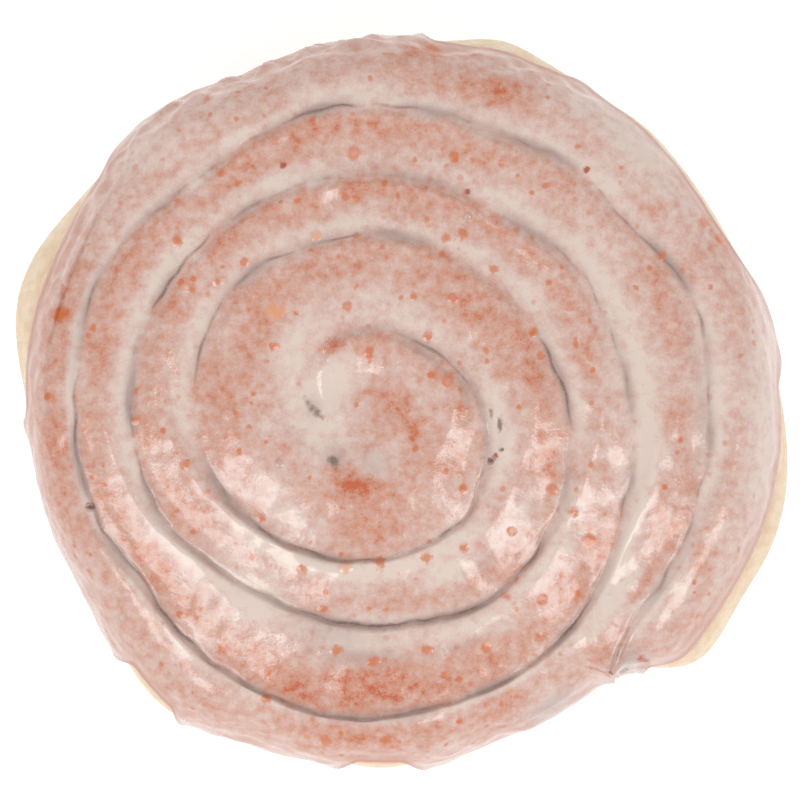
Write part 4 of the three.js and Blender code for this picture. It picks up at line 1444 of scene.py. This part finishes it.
# Where the glaze is toasted, pooled, dark at the seams, marked, and grey with the filling and painted
# groove shade, on top of what goes along the whole strip.
PATCHES = {
    "toast": patches(
        (-3.9, -15.8, 8.0, 5.0, 0.4), (-4.7, -43.6, 16.0, 3.2, 0.62), (-0.6, -0.4, 3.0, 2.2, 0.5),
        (2.1, -4.9, 2.2, 1.6, 0.5), (9.4, -1.4, 2.5, 1.3, 0.5), (-7.0, -12.4, 4.5, 2.6, 0.8),
        (-1.0, 27.0, 10.0, 2.0, 0.25), (30.0, -22.6, 13.0, 2.5, 0.4), (-9.6, 8.2, 2.8, 1.3, 0.8),
        (-4.6, 8.2, 3.0, 1.2, 0.35), (-50.6, 12.8, 2.2, 1.6, 0.9), (15.6, 45.5, 4.0, 2.0, 0.6),
        (15.6, -45.7, 4.0, 2.0, 0.4), (3.5, -50.2, 4.0, 2.0, 0.4), (36.4, -27.4, 3.5, 0.9, 0.9),
        (6.6, 29.9, 14.0, 4.0, 0.25), (-26.4, 0.0, 9.0, 3.0, 0.3), (8.9, 3.0, 5.0, 3.0, 0.2),
        (-21.9, 36.7, 14.0, 4.0, 0.2), (47.1, 25.4, 8.0, 3.0, 0.3), (-50.4, 15.7, 9.0, 2.5, 0.25),
        (2.9, 52.4, 3.0, 1.2, 0.6), (-30.2, -11.3, 9.0, 4.0, 0.2), (28.3, 5.9, 10.0, 3.0, 0.25),
        (-6.2, -50.3, 10.0, 3.0, 0.3), (10.4, 13.0, 9.0, 4.0, 0.4), (-25.0, 33.0, 14.0, 3.5, 0.22),
        (-22.0, 9.0, 10.0, 3.5, 0.3), (-51.5, -6.0, 14.0, 3.0, 0.4), (-42.0, 15.0, 12.0, 3.0, 0.3),
        (-14.0, -43.6, 8.0, 3.0, 0.6), (7.4, 46.2, 7.0, 2.6, 0.45), (-37.6, 35.2, 9.0, 3.0, 0.3),
        (-34.6, -27.8, 9.0, 2.5, 0.4),
    ),
    "pool": patches(
        (-11.9, -0.5, 8.0, 4.2, 1.0), (34.3, 0.0, 20.0, 4.0, 0.6), (47.1, 1.4, 14.0, 4.0, 0.6),
        (-21.9, -29.6, 8.0, 3.5, 1.0), (-30.6, 32.5, 2.0, 1.2, 0.8), (-12.9, 32.5, 1.5, 1.0, 0.8),
        (-6.2, 45.7, 10.0, 2.2, 0.7), (14.0, 42.0, 12.0, 3.0, 0.4), (22.7, -45.8, 4.0, 2.5, 0.5),
        (-3.9, -9.8, 3.0, 1.5, 0.7), (-1.7, -33.0, 12.0, 2.0, 0.5), (36.0, -30.0, 6.0, 4.0, 0.5),
        (30.0, 25.0, 8.0, 3.0, 0.4), (9.2, -18.0, 7.0, 2.0, 0.5), (-37.6, 36.0, 12.0, 3.5, 0.6),
        (35.9, 37.4, 14.0, 3.5, 0.8), (54.6, -4.6, 18.0, 3.5, 0.8), (30.5, -31.0, 8.0, 2.5, 1.0),
        (17.9, -18.1, 6.0, 2.5, 0.8), (7.2, -25.5, 5.0, 2.2, 0.9), (-16.6, -16.6, 7.0, 2.5, 0.7),
        (-18.0, 21.0, 4.0, 2.0, 0.3), (13.2, -3.9, 0.8, 0.8, 1.0),
    ),
    "dark_seams_and_shade": patches(
        (-30.2, 5.9, 5.0, 3.0, 0.6), (-15.6, -20.0, 7.0, 3.0, 0.6), (22.7, 2.9, 9.0, 3.0, 0.6),
        (-1.7, -33.8, 14.0, 3.0, 0.5), (-34.7, 17.2, 3.0, 3.0, 0.6), (-47.1, -6.8, 9.0, 3.0, 0.4),
        (-33.9, -33.1, 12.0, 3.0, 0.5), (26.9, -33.8, 5.0, 3.0, 0.5), (-9.9, 43.0, 8.0, 3.0, 0.4),
        (37.4, 23.2, 10.0, 3.0, 0.3), (-6.2, 9.7, 5.0, 2.0, 0.6),
    ),
    "mark": patches(
        (-9.9, -9.1, 1.1, 0.9, 1.1), (-6.2, 9.8, 4.6, 0.9, 0.4), (-10.8, 8.8, 1.2, 0.8, 0.5),
        (-14.3, 0.3, 0.7, 0.6, 0.6), (-13.7, -0.5, 0.9, 0.7, 0.75), (-13.1, -1.2, 0.9, 0.8, 0.85),
        (-12.4, -1.9, 0.9, 0.8, 0.8), (-11.6, -2.6, 0.8, 0.6, 0.65), (14.9, -3.6, 1.5, 0.45, 1.2),
        (13.6, -2.0, 1.2, 0.45, 0.9),
    ),
    "filling_and_shade": patches(
        (-3.9, -9.6, 2.2, 1.8, 0.5), (-9.4, -8.4, 1.8, 1.5, 0.7), (-5.5, 10.4, 6.0, 0.9, 0.6),
        (3.0, 7.6, 4.5, 0.8, 0.7), (9.6, 1.8, 4.5, 0.8, 0.7), (-12.9, -1.2, 1.6, 1.3, 0.55),
        (-7.0, -38.2, 8.0, 1.6, 0.6), (8.0, -37.0, 6.0, 1.0, 0.4), (45.0, 0.0, 14.0, 0.9, 0.4),
        (22.7, -45.9, 4.5, 1.6, 0.8), (34.5, -39.6, 2.5, 3.0, 0.9), (-10.0, -34.8, 6.0, 2.0, 0.5),
        (12.9, -24.0, 2.0, 1.5, 0.3),
    ),
}
# Spots by kind: the x and y of each, and its radius.
SPOTS_BY_KIND = {
    SpotKind.PALE: (
        (-18.6, 13.4, 1.6), (-12.5, 24.5, 0.9), (-8.0, -25.0, 1.1),
    ),
    SpotKind.RING: (
        (-7.8, 13.9, 0.9), (-6.8, 36.8, 1.2), (7.8, 15.1, 0.9), (7.1, 2.8, 1.2), (22.7, -13.4, 1.0),
    ),
    SpotKind.RED: (
        (-17.4, 34.9, 0.7), (10.1, 31.0, 0.6), (27.9, 34.3, 0.6), (36.2, -39.0, 1.0), (36.9, -39.8, 0.9),
        (35.9, -40.3, 0.6), (14.3, -8.3, 0.5),
    ),
    SpotKind.ORANGE: (
        (-8.1, 30.1, 0.8), (-4.8, 7.1, 0.9), (-18.9, 8.0, 0.8), (-23.3, 20.5, 0.8), (-27.2, 17.6, 0.8),
        (-33.2, 23.6, 0.9), (-45.8, 10.9, 0.8), (-50.6, 12.8, 1.3), (-28.8, 45.2, 0.8), (4.8, 52.3, 1.2),
        (8.1, 36.2, 0.9), (9.5, 24.7, 0.9), (6.9, 24.1, 0.8), (2.1, 15.4, 0.7), (4.2, 9.4, 0.8),
        (19.8, 10.1, 0.8), (20.9, 6.4, 0.9), (45.5, 26.6, 1.0), (47.7, 23.9, 1.0), (38.9, 21.5, 0.8),
        (14.0, 19.4, 0.8), (-32.0, -9.7, 0.9), (-20.6, -17.6, 0.8), (-3.0, -24.4, 1.1), (-14.6, -25.3, 0.8),
        (-11.6, -31.4, 0.8), (-9.5, -37.4, 1.0), (-3.9, -38.8, 1.1), (-19.8, -44.5, 0.8),
        (-11.0, -50.9, 0.9), (-2.0, -50.8, 0.9), (-39.5, -3.1, 0.7), (15.9, -29.3, 0.8), (21.2, -29.8, 0.9),
        (25.8, -16.7, 0.9), (28.1, -20.9, 1.1), (16.7, -19.6, 0.8), (9.5, -22.1, 0.8), (3.8, -23.5, 0.9),
        (3.9, -37.4, 1.0), (12.9, -37.0, 0.9), (20.6, -35.3, 0.9), (9.5, -13.3, 0.8), (37.4, -40.4, 0.6),
    ),
    SpotKind.BUBBLE: (
        (10.1, 27.4, 0.7), (-18.0, -9.5, 0.8), (-41.4, -32.5, 1.0),
    ),
    SpotKind.DARK: (
        (-46.2, -16.0, 0.8), (37.1, -38.8, 0.35), (36.4, -40.0, 0.3), (33.9, -40.2, 0.35),
        (33.2, -40.7, 0.4), (13.5, -9.1, 0.6), (15.2, -7.4, 0.3),
    ),
}
SPOTS = tuple(Spot(x, y, radius, kind) for kind, rows in SPOTS_BY_KIND.items() for x, y, radius in rows)


def main() -> None:
    """Build the roll's three pieces and the studio, and say what each piece is and does."""
    logging.basicConfig(level=logging.INFO, format="%(message)s")
    form = RollForm(Winding(wanders=WANDERS), offset_in_frame())
    LOG.info("offset %.3f %.3f mm", *form.offset)
    parts = (
        (GlazeCoat(form, GlazeFinish(), PATCHES, SPOTS), "glaze", "glaze"),
        (DoughRoll(form, DoughFinish()), "dough", "dough"),
        (CinnamonFilling(form, FillingFinish()), "cinnamon_filling", "filling"),
    )
    for part, node, slot in parts:
        piece = part.build()
        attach(piece, "root")
        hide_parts(node)
        LOG.info("%s: %d triangles, replaces %s", piece.name, len(piece.data.polygons), node)
    Studio().build()


if __name__ == "__main__":
    main()
